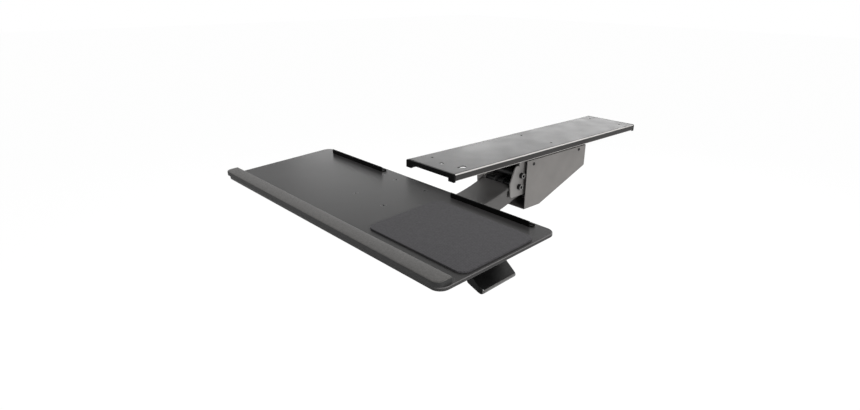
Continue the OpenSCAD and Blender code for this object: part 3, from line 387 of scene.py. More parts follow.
NODE_FINISH = {
    TRACK_PAINT: ("track_channel",),
    CAP_PLASTIC: ("track_front_cap", "track_rear_cap"),
    ZINC: ("carriage_plate", "swivel_bolt", "swivel_nut", "gas_spring_rear_pin", "gas_spring_eye",
           "crank_pin", "brake_sector", "link_front_pin", "lever_pin", "tray_nuts"),
    NYLON: ("slide_shoes", "bearing_ring", "main_pivot_washers", "front_pivot_washers", "tilt_washers"),
    BRACKET_PAINT: ("head_bracket",),
    COVER_PAINT: ("mechanism_cover",),
    FASTENER: ("cover_screws", "upper_tie_bolt", "main_pivot_bolt", "cross_bolt_nuts", "link_pivot_bolts",
               "front_pivot_bolt", "tilt_bolt", "tray_screws"),
    ARM_PAINT: ("lift_arm", "tilt_bracket", "release_lever", "tray_bracket"),
    INNER_SHADE_BLACK: ("tie_tube", "arm_crank", "parallel_link"),
    SPRING_PAINT: ("gas_spring_cylinder",),
    BRIGHT: ("gas_spring_rod", "lever_return_spring"),
    LINING: ("brake_pad",),
    GRIP_PLASTIC: ("lever_grip",),
    BOARD: ("tray_platform",),
    REST_FOAM: ("palm_rest",),
    PAD_CLOTH: ("mouse_pad",),
    STOP_PLASTIC: ("rear_stop_left", "rear_stop_right"),
}


class Paintbox:
    """Makes each finish once and hands it out."""

    made: dict[str, bpy.types.Material] = {}

    @classmethod
    def get(cls, finish: Finish) -> bpy.types.Material:
        """Returns the finish's material, made when it is first asked for."""
        if finish.name not in cls.made:
            cls.made[finish.name] = finish.make()
        return cls.made[finish.name]

    @classmethod
    def dress(cls, thing: bpy.types.Object, finish: Finish) -> None:
        """Gives an object one finish all over."""
        if not thing.material_slots:
            thing.data.materials.append(None)
        for slot in thing.material_slots:
            slot.material = cls.get(finish)


# Modelling


Test = Callable[[Vector, object], bool]


class Axis(Enum):
    """The turn that lays a round tool along each axis."""

    X = (0, math.pi / 2, 0)
    Y = (-math.pi / 2, 0, 0)
    Z = (0, 0, 0)


class Kind(Enum):
    """What a selection is made of, with its select mode."""

    VERTS = "VERT"
    EDGES = "EDGE"
    FACES = "FACE"


class Joining(Enum):
    """How one solid is combined with another."""

    ADD = "UNION"
    CUT = "DIFFERENCE"
    KEEP = "INTERSECT"


def mm(point: Sequence[float]) -> Vector:
    """Gives a point in metres from one in millimetres."""
    return Vector(point) * MM


def along(axis: Axis, length: float) -> Vector:
    """Gives a vector of some length along an axis."""
    return Euler(axis.value).to_matrix() @ Vector((0, 0, length))


def arc(centre: Spot, radius: float, start: float, end: float, steps: int) -> list[Spot]:
    """Gives points along an arc.

    Args:
        centre: Its centre.
        radius: Its radius.
        start: First angle in degrees.
        end: Last angle in degrees.
        steps: Number of stretches.

    Returns:
        The points, from start to end.
    """
    angles = [math.radians(start + (end - start) * i / steps) for i in range(steps + 1)]
    return [(centre[0] + radius * math.cos(a), centre[1] + radius * math.sin(a)) for a in angles]


def side_view(points: Sequence[Spot], x: float) -> list[Point]:
    """Puts side-view points, each (y, z), at a place across the object."""
    return [(x, y, z) for y, z in points]


def front_view(points: Sequence[Spot], y: float) -> list[Point]:
    """Puts front-view points, each (x, z), at a depth."""
    return [(x, y, z) for x, z in points]


def corners_of(low: Spot, high: Spot) -> list[Spot]:
    """Gives a rectangle's corners in order."""
    return [low, (high[0], low[1]), high, (low[0], high[1])]


def rectangle(low: Spot, high: Spot, z: float) -> list[Point]:
    """Gives a level rectangle's corners at a height."""
    return [(x, y, z) for x, y in corners_of(low, high)]


def sharp(edge: object, degrees: float = 40) -> bool:
    """Tells whether an edge turns by more than some angle."""
    return len(edge.link_faces) == 2 and edge.calc_face_angle() > math.radians(degrees)


def lengthwise(edge: object) -> bool:
    """Tells whether an edge runs across the object, along X."""
    start, end = edge.verts
    return abs(start.co.x - end.co.x) > MM


class Piece:
    """A mesh modelled with Blender's own tools. Its sizes and places are in millimetres."""

    def __init__(self, thing: bpy.types.Object, name: str) -> None:
        """Takes over a new object.

        Args:
            thing: The object.
            name: The piece's name.
        """
        self.thing = thing
        thing.name = name
        thing.data.name = name

    @staticmethod
    def clear() -> None:
        """Leaves edit mode and deselects everything."""
        if bpy.context.mode != "OBJECT":
            bpy.ops.object.mode_set(mode="OBJECT")
        bpy.ops.object.select_all(action="DESELECT")

    @classmethod
    def block(cls, name: str, low: Point, high: Point) -> "Piece":
        """Adds a box between two corners."""
        cls.clear()
        size = [b - a for a, b in zip(low, high)]
        middle = [(a + b) / 2 for a, b in zip(low, high)]
        bpy.ops.mesh.primitive_cube_add(size=MM, location=mm(middle), scale=size)
        return cls(bpy.context.object, name).settle()

    @classmethod
    def rod(cls, name: str, base: Point, height: float, radius: float, top: float | None = None,
            axis: Axis = Axis.Z, sides: int = 64) -> "Piece":
        """Adds a cylinder or cone that stands on a point.

        Args:
            name: The piece's name.
            base: Middle of its foot.
            height: Its length along the axis.
            radius: Radius of its foot.
            top: Radius of its far end, where it differs.
            axis: The axis it lies along.
            sides: Number of its sides.

        Returns:
            The new piece.
        """
        cls.clear()
        middle = mm(Vector(base) + along(axis, height / 2))
        far = radius if top is None else top
        bpy.ops.mesh.primitive_cone_add(vertices=sides, radius1=radius * MM, radius2=far * MM,
                                        depth=height * MM, location=middle, rotation=axis.value)
        return cls(bpy.context.object, name).settle()

    @classmethod
    def outline(cls, name: str, points: Sequence[Point]) -> "Piece":
        """Draws a flat face corner by corner and leaves it selected in edit mode."""
        cls.clear()
        bpy.ops.mesh.primitive_plane_add(size=MM, location=mm(points[0]))
        piece = cls(bpy.context.object, name).settle()
        piece.edit()
        bpy.ops.mesh.select_mode(type="VERT")
        bpy.ops.mesh.select_all(action="SELECT")
        bpy.ops.mesh.merge(type="CENTER")
        for here, there in zip(points, points[1:]):
            step = mm(there) - mm(here)
            bpy.ops.mesh.extrude_vertices_move(TRANSFORM_OT_translate={"value": step})
        bpy.ops.mesh.select_all(action="SELECT")
        bpy.ops.mesh.edge_face_add()
        return piece

    @classmethod
    def prism(cls, name: str, points: Sequence[Point], run: Point, corner_r: float = 0,
              segments: int = 10) -> "Piece":
        """Draws a flat face, rounds its corners and pulls it out to a solid.

        Args:
            name: The piece's name.
            points: Corners of the face.
            run: How far and which way it is pulled out.
            corner_r: Radius of its corners.
            segments: Number of steps in a corner.

        Returns:
            The new piece.
        """
        piece = cls.outline(name, points)
        if corner_r:
            piece.pick(Kind.VERTS, lambda p, v: True).bevel(corner_r, segments, corners=True)
        piece.pick(Kind.FACES, lambda p, f: True).extrude(run)
        return piece.face_out()

    def take(self) -> "Piece":
        """Makes this the only selected object."""
        self.clear()
        self.thing.select_set(True)
        bpy.context.view_layer.objects.active = self.thing
        return self

    def edit(self) -> "Piece":
        """Opens the mesh in edit mode."""
        self.take()
        bpy.ops.object.mode_set(mode="EDIT")
        return self

    def settle(self) -> "Piece":
        """Moves the object's place, turn and scale into its mesh."""
        self.take()
        bpy.ops.object.transform_apply(location=True, rotation=True, scale=True)
        return self

    def lay(self, place: Point = (0, 0, 0), turn: Point = (0, 0, 0)) -> "Piece":
        """Turns the piece about the origin, in radians about each axis, and then moves it."""
        self.take()
        self.thing.location = mm(place)
        self.thing.rotation_euler = turn
        return self.settle()

    def pick(self, kind: Kind, test: Test) -> "Piece":
        """Selects the corners, edges or faces that pass a test.

        Args:
            kind: What is selected.
            test: Called with each one's middle and the thing itself.

        Returns:
            The piece, in edit mode.
        """
        self.edit()
        bpy.ops.mesh.select_mode(type=kind.value)
        bpy.ops.mesh.select_all(action="DESELECT")
        mesh = bmesh.from_edit_mesh(self.thing.data)
        for item in getattr(mesh, kind.name.lower()):
            corners = [item] if kind is Kind.VERTS else item.verts
            middle = sum((corner.co for corner in corners), Vector()) / len(corners)
            if test(middle / MM, item):
                item.select_set(True)
        mesh.select_flush_mode()
        bmesh.update_edit_mesh(self.thing.data)
        return self

    def bevel(self, width: float, segments: int, corners: bool = False) -> "Piece":
        """Rounds the selected edges, or the selected corners of a flat face."""
        affect = "VERTICES" if corners else "EDGES"
        bpy.ops.mesh.bevel(offset=width * MM, segments=segments, affect=affect)
        return self

    def round(self, width: float, segments: int, where: Callable[[Vector], bool],
              degrees: float = 40) -> "Piece":
        """Rounds sharp edges.

        Args:
            width: Width of the rounding.
            segments: Number of its steps.
            where: Tells from an edge's middle whether it is meant.
            degrees: An edge is sharp where it turns by more than this.

        Returns:
            The piece, in edit mode.
        """
        return self.pick(Kind.EDGES, lambda p, e: where(p) and sharp(e, degrees)).bevel(width, segments)

    def extrude(self, run: Point) -> "Piece":
        """Pulls the selected region out."""
        bpy.ops.mesh.extrude_region_move(TRANSFORM_OT_translate={"value": mm(run)})
        return self

    def inset(self, width: float) -> "Piece":
        """Insets the selected faces."""
        bpy.ops.mesh.inset(thickness=width * MM, depth=0)
        return self

    def drop(self, test: Test) -> "Piece":
        """Deletes the faces that pass a test."""
        self.pick(Kind.FACES, test)
        bpy.ops.mesh.delete(type="FACE")
        return self.take()

    def slice(self, place: Point, normal: Point) -> "Piece":
        """Cuts the whole mesh along a plane and keeps both sides."""
        self.edit()
        bpy.ops.mesh.select_all(action="SELECT")
        bpy.ops.mesh.bisect(plane_co=mm(place), plane_no=normal)
        return self

    def face_out(self) -> "Piece":
        """Merges doubled corners and turns every face outwards."""
        self.edit()
        bpy.ops.mesh.select_all(action="SELECT")
        bpy.ops.mesh.remove_doubles(threshold=MM / 1000)
        bpy.ops.mesh.normals_make_consistent(inside=False)
        return self.take()

    def modify(self, kind: str, **settings: object) -> "Piece":
        """Adds a modifier with its settings and applies it."""
        self.take()
        modifier = self.thing.modifiers.new(kind.lower(), kind)
        for key, value in settings.items():
            setattr(modifier, key, value)
        bpy.ops.object.modifier_apply(modifier=modifier.name)
        return self

    def combine(self, tool: "Piece", joining: Joining = Joining.CUT) -> "Piece":
        """Cuts with, adds or keeps the shared part of another solid, which is used up."""
        self.modify("BOOLEAN", operation=joining.value, solver="EXACT", object=tool.thing)
        bpy.data.objects.remove(tool.thing)
        return self

    def copy(self, name: str, move: Point = (0, 0, 0)) -> "Piece":
        """Copies the piece, with its own mesh, and moves the copy."""
        thing = self.thing.copy()
        thing.data = self.thing.data.copy()
        bpy.context.scene.collection.objects.link(thing)
        return Piece(thing, name).lay(move)

    def paint(self, finish: Finish, test: Test | None = None) -> "Piece":
        """Gives the piece a finish, or only those faces whose middle and self pass a test."""
        self.take()
        self.thing.data.materials.append(Paintbox.get(finish))
        if test:
            self.pick(Kind.FACES, test)
            self.thing.active_material_index = len(self.thing.data.materials) - 1
            bpy.ops.object.material_slot_assign()
        return self.take()

    def mount(self, body: str, slot: str, *nodes: str, angle: float = 35) -> bpy.types.Object:
        """Ends the modelling: smooths the faces and hangs the piece on its body.

        Args:
            body: The body it rides on.
            slot: The record's material slot; not used.
            nodes: The nodes it stands for.
            angle: Edges that turn by less than this are smoothed, in degrees.

        Returns:
            The finished object.
        """
        self.take()
        bpy.ops.object.shade_smooth_by_angle(angle=math.radians(angle))
        self.modify("WEIGHTED_NORMAL", keep_sharp=True).clear()
        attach(self.thing, body)
        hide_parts(*nodes)
        log.info("modelled %s: %d faces", self.thing.name, len(self.thing.data.polygons))
        return self.thing


# Tray and what lies on it


@dataclass(frozen=True)
class TrayPlane:
    """Where the tray's top lies: the middle of its rear edge, and its slope towards the user."""

    rear_y: float = -356.217
    rear_z: float = -26.730
    pitch: float = math.radians(3.12)

    def lay(self, piece: Piece) -> Piece:
        """Moves a piece drawn in the tray's own frame to its place."""
        return piece.lay((0, self.rear_y, self.rear_z), (self.pitch, 0, 0))

    def height(self, place: Vector) -> float:
        """Gives a point's height over the board's top face."""
        y, z = place.y - self.rear_y, place.z - self.rear_z
        return z * math.cos(self.pitch) - y * math.sin(self.pitch)


@dataclass
class TrayTop:
    """The board with its screws. Drawn flat: X across, Y from the rear edge, Z from the top face."""

    plane: TrayPlane
    width: float = 670
    depth: float = 260
    thick: float = 6
    corner_r: float = 18
    edge_r: float = 2
    low_edge_r: float = 1
    screw_span: float = 87.8
    screw_in: float = 28.9
    screw_pitch: float = 100.9
    screw_d: float = 5
    sink_d: float = 11
    sink_gap: float = 0.15
    head_gap: float = 0.1
    shank_l: float = 14
    head_edge_r: float = 0.25
    tip_r: float = 0.6
    socket_d: float = 3.6
    socket_h: float = 2.2

    def build(self) -> None:
        """Builds the board and its screws."""
        self.board()
        self.screws()

    @property
    def sink_h(self) -> float:
        """Depth of a countersink."""
        return (self.sink_d - self.screw_d) / 2

    def screw_places(self) -> list[Spot]:
        """Gives the places of the four screws."""
        return [(side * self.screw_span / 2, -self.screw_in - row * self.screw_pitch)
                for side in (-1, 1) for row in (0, 1)]

    def board(self) -> None:
        """Builds the board with round corners, a rounded rim and countersunk holes."""
        half = self.width / 2
        corners = rectangle((-half, -self.depth), (half, 0), 0)
        piece = Piece.prism("tray_board", corners, (0, 0, -self.thick), self.corner_r, 14)
        piece.round(self.edge_r, 5, lambda p: p.z > -NEAR)
        piece.round(self.low_edge_r, 3, lambda p: p.z < NEAR - self.thick)
        rim, low, high = self.sink_d / 2 + self.sink_gap, -self.sink_h - 0.2, 0.4
        for x, y in self.screw_places():
            bore = (x, y, -self.thick - OVER), self.thick + 2 * OVER, self.screw_d / 2 + self.sink_gap
            piece.combine(Piece.rod("bore", *bore))
            piece.combine(Piece.rod("cone", (x, y, low), high - low, rim + low, rim + high))
        self.plane.lay(piece).face_out()
        piece.paint(BOARD).mount("tray", "tray_board", "tray_platform")

    def screws(self) -> None:
        """Builds one countersunk screw and copies it to all four places."""
        low = -self.sink_h
        first = Piece.rod("tray_screw_1", (0, 0, low), -low - self.sink_gap, self.screw_d / 2,
                          self.sink_d / 2 - self.head_gap, sides=48)
        first.pick(Kind.FACES, lambda p, f: p.z < low + NEAR).extrude((0, 0, -low - self.shank_l))
        first.round(self.tip_r, 2, lambda p: p.z < NEAR - self.shank_l)
        first.round(self.head_edge_r, 2, lambda p: p.z > -self.sink_gap - 0.05, 30)
        socket = Piece.rod("socket", (0, 0, -self.socket_h), self.socket_h + 0.8, self.socket_d / 2, sides=6)
        first.combine(socket).face_out()
        own, *others = self.screw_places()
        copies = [first.copy(f"tray_screw_{i}", (*place, 0)) for i, place in enumerate(others, 2)]
        for screw in (first.lay((*own, 0)), *copies):
            self.plane.lay(screw).paint(FASTENER).mount("tray", "black_fastener", "tray_screws")


@dataclass
class PalmRest:
    """The foam rest along the board's front edge."""

    plane: TrayPlane
    width: float = 673
    shift: float = -5.5
    depth: float = 28.8
    front: float = -260
    height: float = 10
    crown: float = 0.9
    corner_r: float = 13
    rear_corner_r: float = 3
    edge_r: float = 2.2
    backing_h: float = 1.4
    rows: int = 7
    column_w: int = 24
    flat_end: float = 20
    # Faces steeper than this get the painted shade.
    steep: float = 0.4

    def build(self) -> None:
        """Builds the rest: a backing, a foam body with round edges and a low crown."""
        left, right = self.shift - self.width / 2, self.shift + self.width / 2
        rear, top = self.front + self.depth, self.height - self.crown
        piece = Piece.outline("palm_rest_foam", rectangle((left, self.front), (right, rear), 0))
        piece.pick(Kind.VERTS, lambda p, v: p.y < self.front + 1).bevel(self.corner_r, 10, corners=True)
        piece.pick(Kind.VERTS, lambda p, v: p.y > rear - 1).bevel(self.rear_corner_r, 6, corners=True)
        piece.pick(Kind.FACES, lambda p, f: True).extrude((0, 0, self.backing_h))
        piece.pick(Kind.FACES, lambda p, f: p.z > self.backing_h - NEAR and abs(f.normal.z) > FACING)
        piece.extrude((0, 0, top - self.backing_h)).face_out()
        piece.round(self.edge_r, 6, lambda p: p.z > top - NEAR)
        for y in self.row_places():
            piece.slice((0, y, 0), (0, 1, 0))
        for x in range(int(left) + 25, int(right) - 20, self.column_w):
            piece.slice((x, 0, 0), (1, 0, 0))
        self.raise_crown(piece, top, left + self.flat_end, right - self.flat_end)
        self.plane.lay(piece).face_out()
        # The steep sides get the darker foam, a painted shade.
        piece.paint(REST_FOAM).paint(REST_SIDE_SHADE, lambda p, f: abs(f.normal.z) < self.steep)
        thing = piece.mount("tray", "rest_foam", "palm_rest", angle=50)

    def row_places(self) -> list[float]:
        """Gives the depths of the rows of corners that carry the crown."""
        start, span = self.front + self.edge_r, self.depth - self.edge_r - 2
        return [start + span * step / self.rows for step in range(1, self.rows)]

    def raise_crown(self, piece: Piece, top: float, left: float, right: float) -> None:
        """Lifts the top face to a low crown, row by row.

        Args:
            piece: The rest.
            top: Height of its flat top.
            left: Where the crown starts.
            right: Where the crown ends.
        """
        half = self.depth / 2
        for y in self.row_places():
            rise = self.crown * (1 - ((y - self.front - half) / half) ** 2)
            piece.pick(Kind.VERTS, lambda p, v: p.z > top - NEAR and left < p.x < right
                       and abs(p.y - y) < 2 * REACH)
            bpy.ops.transform.translate(value=mm((0, 0, rise)))


@dataclass
class MousePad:
    """The pad on the board's right end: a rubber foot and a cloth face."""

    plane: TrayPlane
    width: float = 230
    depth: float = 164
    thick: float = 3
    right: float = 329
    rear: float = -46
    corner_r: float = 17
    edge_r: float = 1.1
    low_edge_r: float = 0.3
    rubber_h: float = 1.0
    lap: float = 0.25
    columns: int = 12
    rows: int = 9

    def build(self) -> None:
        """Builds the pad with round corners, a soft rim and two layers."""
        corners = rectangle((self.right - self.width, self.rear - self.depth), (self.right, self.rear), 0)
        piece = Piece.prism("mouse_pad_cloth", corners, (0, 0, self.rubber_h), self.corner_r, 14)
        piece.round(self.low_edge_r, 2, lambda p: p.z < NEAR)
        piece.pick(Kind.FACES, lambda p, f: p.z > self.rubber_h - NEAR and f.normal.z > FACING)
        piece.inset(self.lap).extrude((0, 0, self.thick - self.rubber_h))
        piece.round(self.edge_r, 5, lambda p: p.z > self.thick - NEAR)
        for i in range(1, self.columns):
            piece.slice((self.right - self.width * i / self.columns, 0, 0), (1, 0, 0))
        for i in range(1, self.rows):
            piece.slice((0, self.rear - self.depth * i / self.rows, 0), (0, 1, 0))
        self.plane.lay(piece).face_out()
        split = self.rubber_h + 0.05
        piece.paint(PAD_CLOTH).paint(PAD_RUBBER, lambda p, f: self.plane.height(p) < split)
        thing = piece.mount("tray", "pad_rubber", "mouse_pad", angle=40)


@dataclass
class RearStops:
    """The two stops near the board's rear edge, alike but for their small edges."""

    plane: TrayPlane
    left_ends: Spot = (-292, 106)
    length: float = 186
    overrun: float = 5
    front: float = -19.5
    wall_t: float = 2.5
    height: float = 10
    foot: float = 10
    foot_t: float = 2
    rim: float = 1.5
    fillet_r: float = 1.4
    top_r: float = 0.9
    edge_r: float = 0.25

    def build(self) -> None:
        """Builds one stop, then its copy. Only the first one's small edges are rounded."""
        y0, y1 = self.front, self.front + self.foot
        wall_y, rim_y, rim_z = y0 + self.wall_t, y1 - self.rim, self.foot_t + self.rim
        section = [(y0, 0), (y1, 0), (y1, rim_z), (rim_y, rim_z), (rim_y, self.foot_t), (wall_y, self.foot_t),
                   (wall_y, self.height), (y0, self.height)]
        first = Piece.prism("stop_left", side_view(section, 0), (self.length + self.overrun, 0, 0))
        first.pick(Kind.EDGES, lambda p, e: abs(p.y - wall_y) < NEAR and abs(p.z - self.foot_t) < NEAR
                   and lengthwise(e)).bevel(self.fillet_r, 4)
        first.pick(Kind.EDGES, lambda p, e: p.z > self.height - NEAR and lengthwise(e)).bevel(self.top_r, 4)
        low, step, high = -OVER, self.foot_t + NEAR, self.height + 2 * OVER
        beyond = [(y0 - OVER, low), (wall_y, low), (wall_y, step), (wall_y + 2, step), (wall_y + 2, high),
                  (y0 - OVER, high)]
        first.combine(Piece.prism("end", side_view(beyond, self.length), (9, 0, 0))).face_out()
        second = first.copy("stop_right", (self.left_ends[1], 0, 0))
        first.round(self.edge_r, 2, lambda p: p.z > 0.5, 60)
        first.lay((self.left_ends[0], 0, 0))
        for piece, node in ((first, "rear_stop_left"), (second, "rear_stop_right")):
            self.plane.lay(piece).face_out()
            piece.paint(STOP_PLASTIC).mount("tray", "stop_plastic", node)


# Lever


@dataclass
class LeverGrip:
    """The moulded grip on the release lever: a wedge that runs out into a round lip."""

    reach: float = 304
    bar_top: float = -71.127
    bar_t: float = 3
    wall: float = 2.2
    drop: float = 29
    slope: float = math.radians(37)
    lip_d: float = 9.2
    heel: Spot = (-28.6, 4.6)
    root_l: float = 8
    front_y: float = -498.616
    width: float = 87.4
    turn: float = math.radians(4.4)
    corner_r: float = 10
    edge_r: float = 1.1
    trim_l: float = 160
    trim_z: Spot = (-150, -30)
    socket_y: Spot = (-470.12, -426.92)
    socket_x: Point = (-20, -4, 16)
    socket_gap: float = 0.1
    # Normal limits of the lip faces that get the painted highlight.
    lip_highlight_facing: Spot = (0.75, 0.62)

    def build(self) -> None:
        """Builds the turned wedge, trims its sides, rounds its corners and edges, and sinks its socket."""
        radius = self.lip_d / 2
        lip = (self.reach - radius, self.bar_top - self.drop)
        shoulder = (lip[0] + radius * math.sin(self.slope), lip[1] + radius * math.cos(self.slope))
        top, low = self.bar_top + self.wall, self.bar_top - self.bar_t - self.wall
        knee = shoulder[0] - (top - shoulder[1]) / math.tan(self.slope)
        root = knee - self.root_l
        nose = arc(lip, radius, 90 - math.degrees(self.slope), -100, 12)
        heel = (lip[0] + self.heel[0], lip[1] + self.heel[1])
        centred = [(x - self.reach, z) for x, z in ((root, top), (knee, top), *nose, heel, (root, low))]
        body = Piece.prism("lever_grip_moulded", front_view(centred, -self.width), (0, 2 * self.width, 0))
        body.lay((self.reach, self.front_y + self.width / 2, 0), (0, 0, self.turn))
        lead = math.tan(self.turn) * self.width / 2
        low, high = self.trim_z
        ends = (self.reach - self.trim_l, self.front_y), (self.reach + lead, self.front_y + self.width)
        sides = Piece.prism("sides", rectangle(*ends, low), (0, 0, high - low), self.corner_r, 8)
        body.combine(sides, Joining.KEEP).face_out()
        body.round(self.edge_r, 4, lambda p: p.x > root + 1, 50)
        y0, y1 = self.socket_y
        body.combine(Piece.prism("socket", front_view(self.socket(knee), y0), (0, y1 - y0, 0))).face_out()
        # The lip's outward and downward faces get the lighter finish, a painted highlight.
        out, up = self.lip_highlight_facing
        body.paint(GRIP_PLASTIC).paint(GRIP_LIP_HIGHLIGHT, lambda p, f: f.normal.x > out and f.normal.z < up)
        body.mount("lever", "grip_plastic", "lever_grip")

    def socket(self, knee: float) -> list[Spot]:
        """Gives the outline of the hole for the lever's bar, which bends down with the slope."""
        outer, bend, inner = (knee + x for x in self.socket_x)
        high, low = self.bar_top + self.socket_gap, self.bar_top - self.bar_t - self.socket_gap
        fall = (inner - bend) * math.tan(self.slope)
        return [(outer, high), (bend, high), (inner, high - fall), (inner, low - fall), (bend, low),
                (outer, low)]


@dataclass
class ReturnSpring:
    """The lever's return spring: round wire in close turns round the pin, with two straight legs."""

    hinge_x: float = -29
    hinge_z: float = -70.127
    start_y: float = -450.016
    coil_r: float = 4.6
    wire_r: float = 0.6
    turns: int = 6
    pitch: float = 2
    fixed_leg_x: float = -7.5
    loose_leg: Spot = (12, 0.6)
    turn_steps: int = 28

    def build(self) -> None:
        """Spins a wire section into the coil and pulls its two ends out into legs."""
        piece = Piece.rod("return_spring_wire", (0, 0, self.coil_r), 0.02, self.wire_r, axis=Axis.X, sides=14)
        piece.drop(lambda p, f: len(f.verts) == 4 or p.x > NEAR)
        length, steps = self.pitch * self.turns, self.turns * self.turn_steps
        piece.modify("SCREW", axis="Y", angle=math.tau * self.turns, screw_offset=length * MM, steps=steps,
                     render_steps=steps, use_merge_vertices=False)
        self.pull_leg(piece, 0, (self.fixed_leg_x, 0, 0))
        self.pull_leg(piece, length, (self.loose_leg[0], 0, self.loose_leg[1] - self.coil_r))
        piece.lay((self.hinge_x, self.start_y, self.hinge_z)).face_out()
        piece.paint(BRIGHT).mount("tilt_head", "bright_steel", "lever_return_spring", angle=60)

    @staticmethod
    def pull_leg(piece: Piece, y: float, run: Point) -> None:
        """Pulls the open end of the wire that lies at y out into a leg, and closes it."""
        piece.pick(Kind.EDGES, lambda p, e: len(e.link_faces) < 2 and abs(p.y - y) < 1 and p.z > 0)
        piece.extrude(run)
        bpy.ops.mesh.edge_face_add()


# Track


@dataclass
class TrackCaps:
    """The moulded end caps of the track: a band with two feet, and plugs inside the channel."""

    length: float = 670
    width: float = 145
    height: float = 15.5
    sheet: float = 2
    fold_r: float = 4
    cap_t: float = 5
    band_h: float = 10.3
    foot_h: float = 17.2
    foot_w: float = 16.5
    side_edge_r: float = 1.2
    front_edge_r: float = 0.9
    plug_l: float = 8
    plug_gap: float = 0.15
    plug_edge_r: float = 1.6

    def build(self) -> None:
        """Builds the front cap, then the rear cap as its mirror image."""
        for side, turn in (("front", 0), ("rear", math.pi)):
            piece = self.cap(f"cap_{side}").lay(turn=(0, 0, turn)).face_out()
            piece.paint(CAP_PLASTIC).mount("track", "cap_plastic", f"track_{side}_cap")

    def cap(self, name: str) -> Piece:
        """Builds a cap at the front end."""
        half, foot = self.width / 2, self.width / 2 - self.foot_w
        front, back = -self.length / 2, self.cap_t - self.length / 2
        points = [(half, -self.foot_h), (half, -self.fold_r)]
        points += arc((half - self.fold_r, -self.fold_r), self.fold_r, 0, 90, 8)[1:]
        points += arc((self.fold_r - half, -self.fold_r), self.fold_r, 90, 180, 8)
        points += [(-half, -self.foot_h), (-foot, -self.foot_h), (-foot, -self.band_h), (foot, -self.band_h),
                   (foot, -self.foot_h)]
        piece = Piece.prism(name, front_view(points, front), (0, self.cap_t, 0))
        piece.round(self.side_edge_r, 4, lambda p: front + REACH < p.y < back - REACH, 70)
        piece.round(self.front_edge_r, 4, lambda p: p.y < front + REACH, 50)
        low, high = REACH + self.sheet - self.height, -self.sheet - REACH
        for side in (-1, 1):
            inner, outer = sorted((side * foot, side * (half - self.sheet - self.plug_gap)))
            plug = Piece.block("plug", (inner, back - 0.5, low), (outer, back + self.plug_l, high))
            plug.round(self.plug_edge_r, 3, lambda p: p.y > back)
            piece.combine(plug.face_out(), Joining.ADD)
        return piece


# Head


@dataclass
class MechanismCover:
    """The folded sheet cover behind the cheeks, open at its front and top."""

    width: float = 124
    sheet: float = 1.5
    front: float = -95
    knee: float = -40
    rear: float = 132
    top: float = -22
    low: float = -137
    rear_low: float = -74.5
    fold_r: float = 3
    edge_r: float = 0.3
    screw_places: tuple[Spot, ...] = ((-72, -32), (101.4, -29))
    screw_r: float = 2.1

    def build(self) -> None:
        """Folds the cover from a drawn side, hollows it and drills its screw holes."""
        side = [(self.front, self.top), (self.front, self.low), (self.knee, self.low),
                (self.rear, self.rear_low), (self.rear, self.top)]
        half = self.width / 2
        piece = Piece.prism("cover_folded", side_view(side, -half), (self.width, 0, 0))
        piece.drop(lambda p, f: abs(f.normal.z) > FACING and p.z > self.top - REACH
                   or abs(f.normal.y) > FACING and p.y < self.front + REACH)
        piece.round(self.fold_r, 5, lambda p: True, 20)
        piece.modify("SOLIDIFY", thickness=self.sheet * MM, offset=-1, use_even_offset=True)
        for place in self.screw_places:
            piece.combine(Piece.rod("hole", (-half - OVER, *place), self.width + 2 * OVER, self.screw_r,
                                    axis=Axis.X, sides=32))
        piece.round(self.edge_r, 2, lambda p: True, 60).face_out()
        piece.paint(COVER_PAINT).mount("head", "cover_paint", "mechanism_cover")


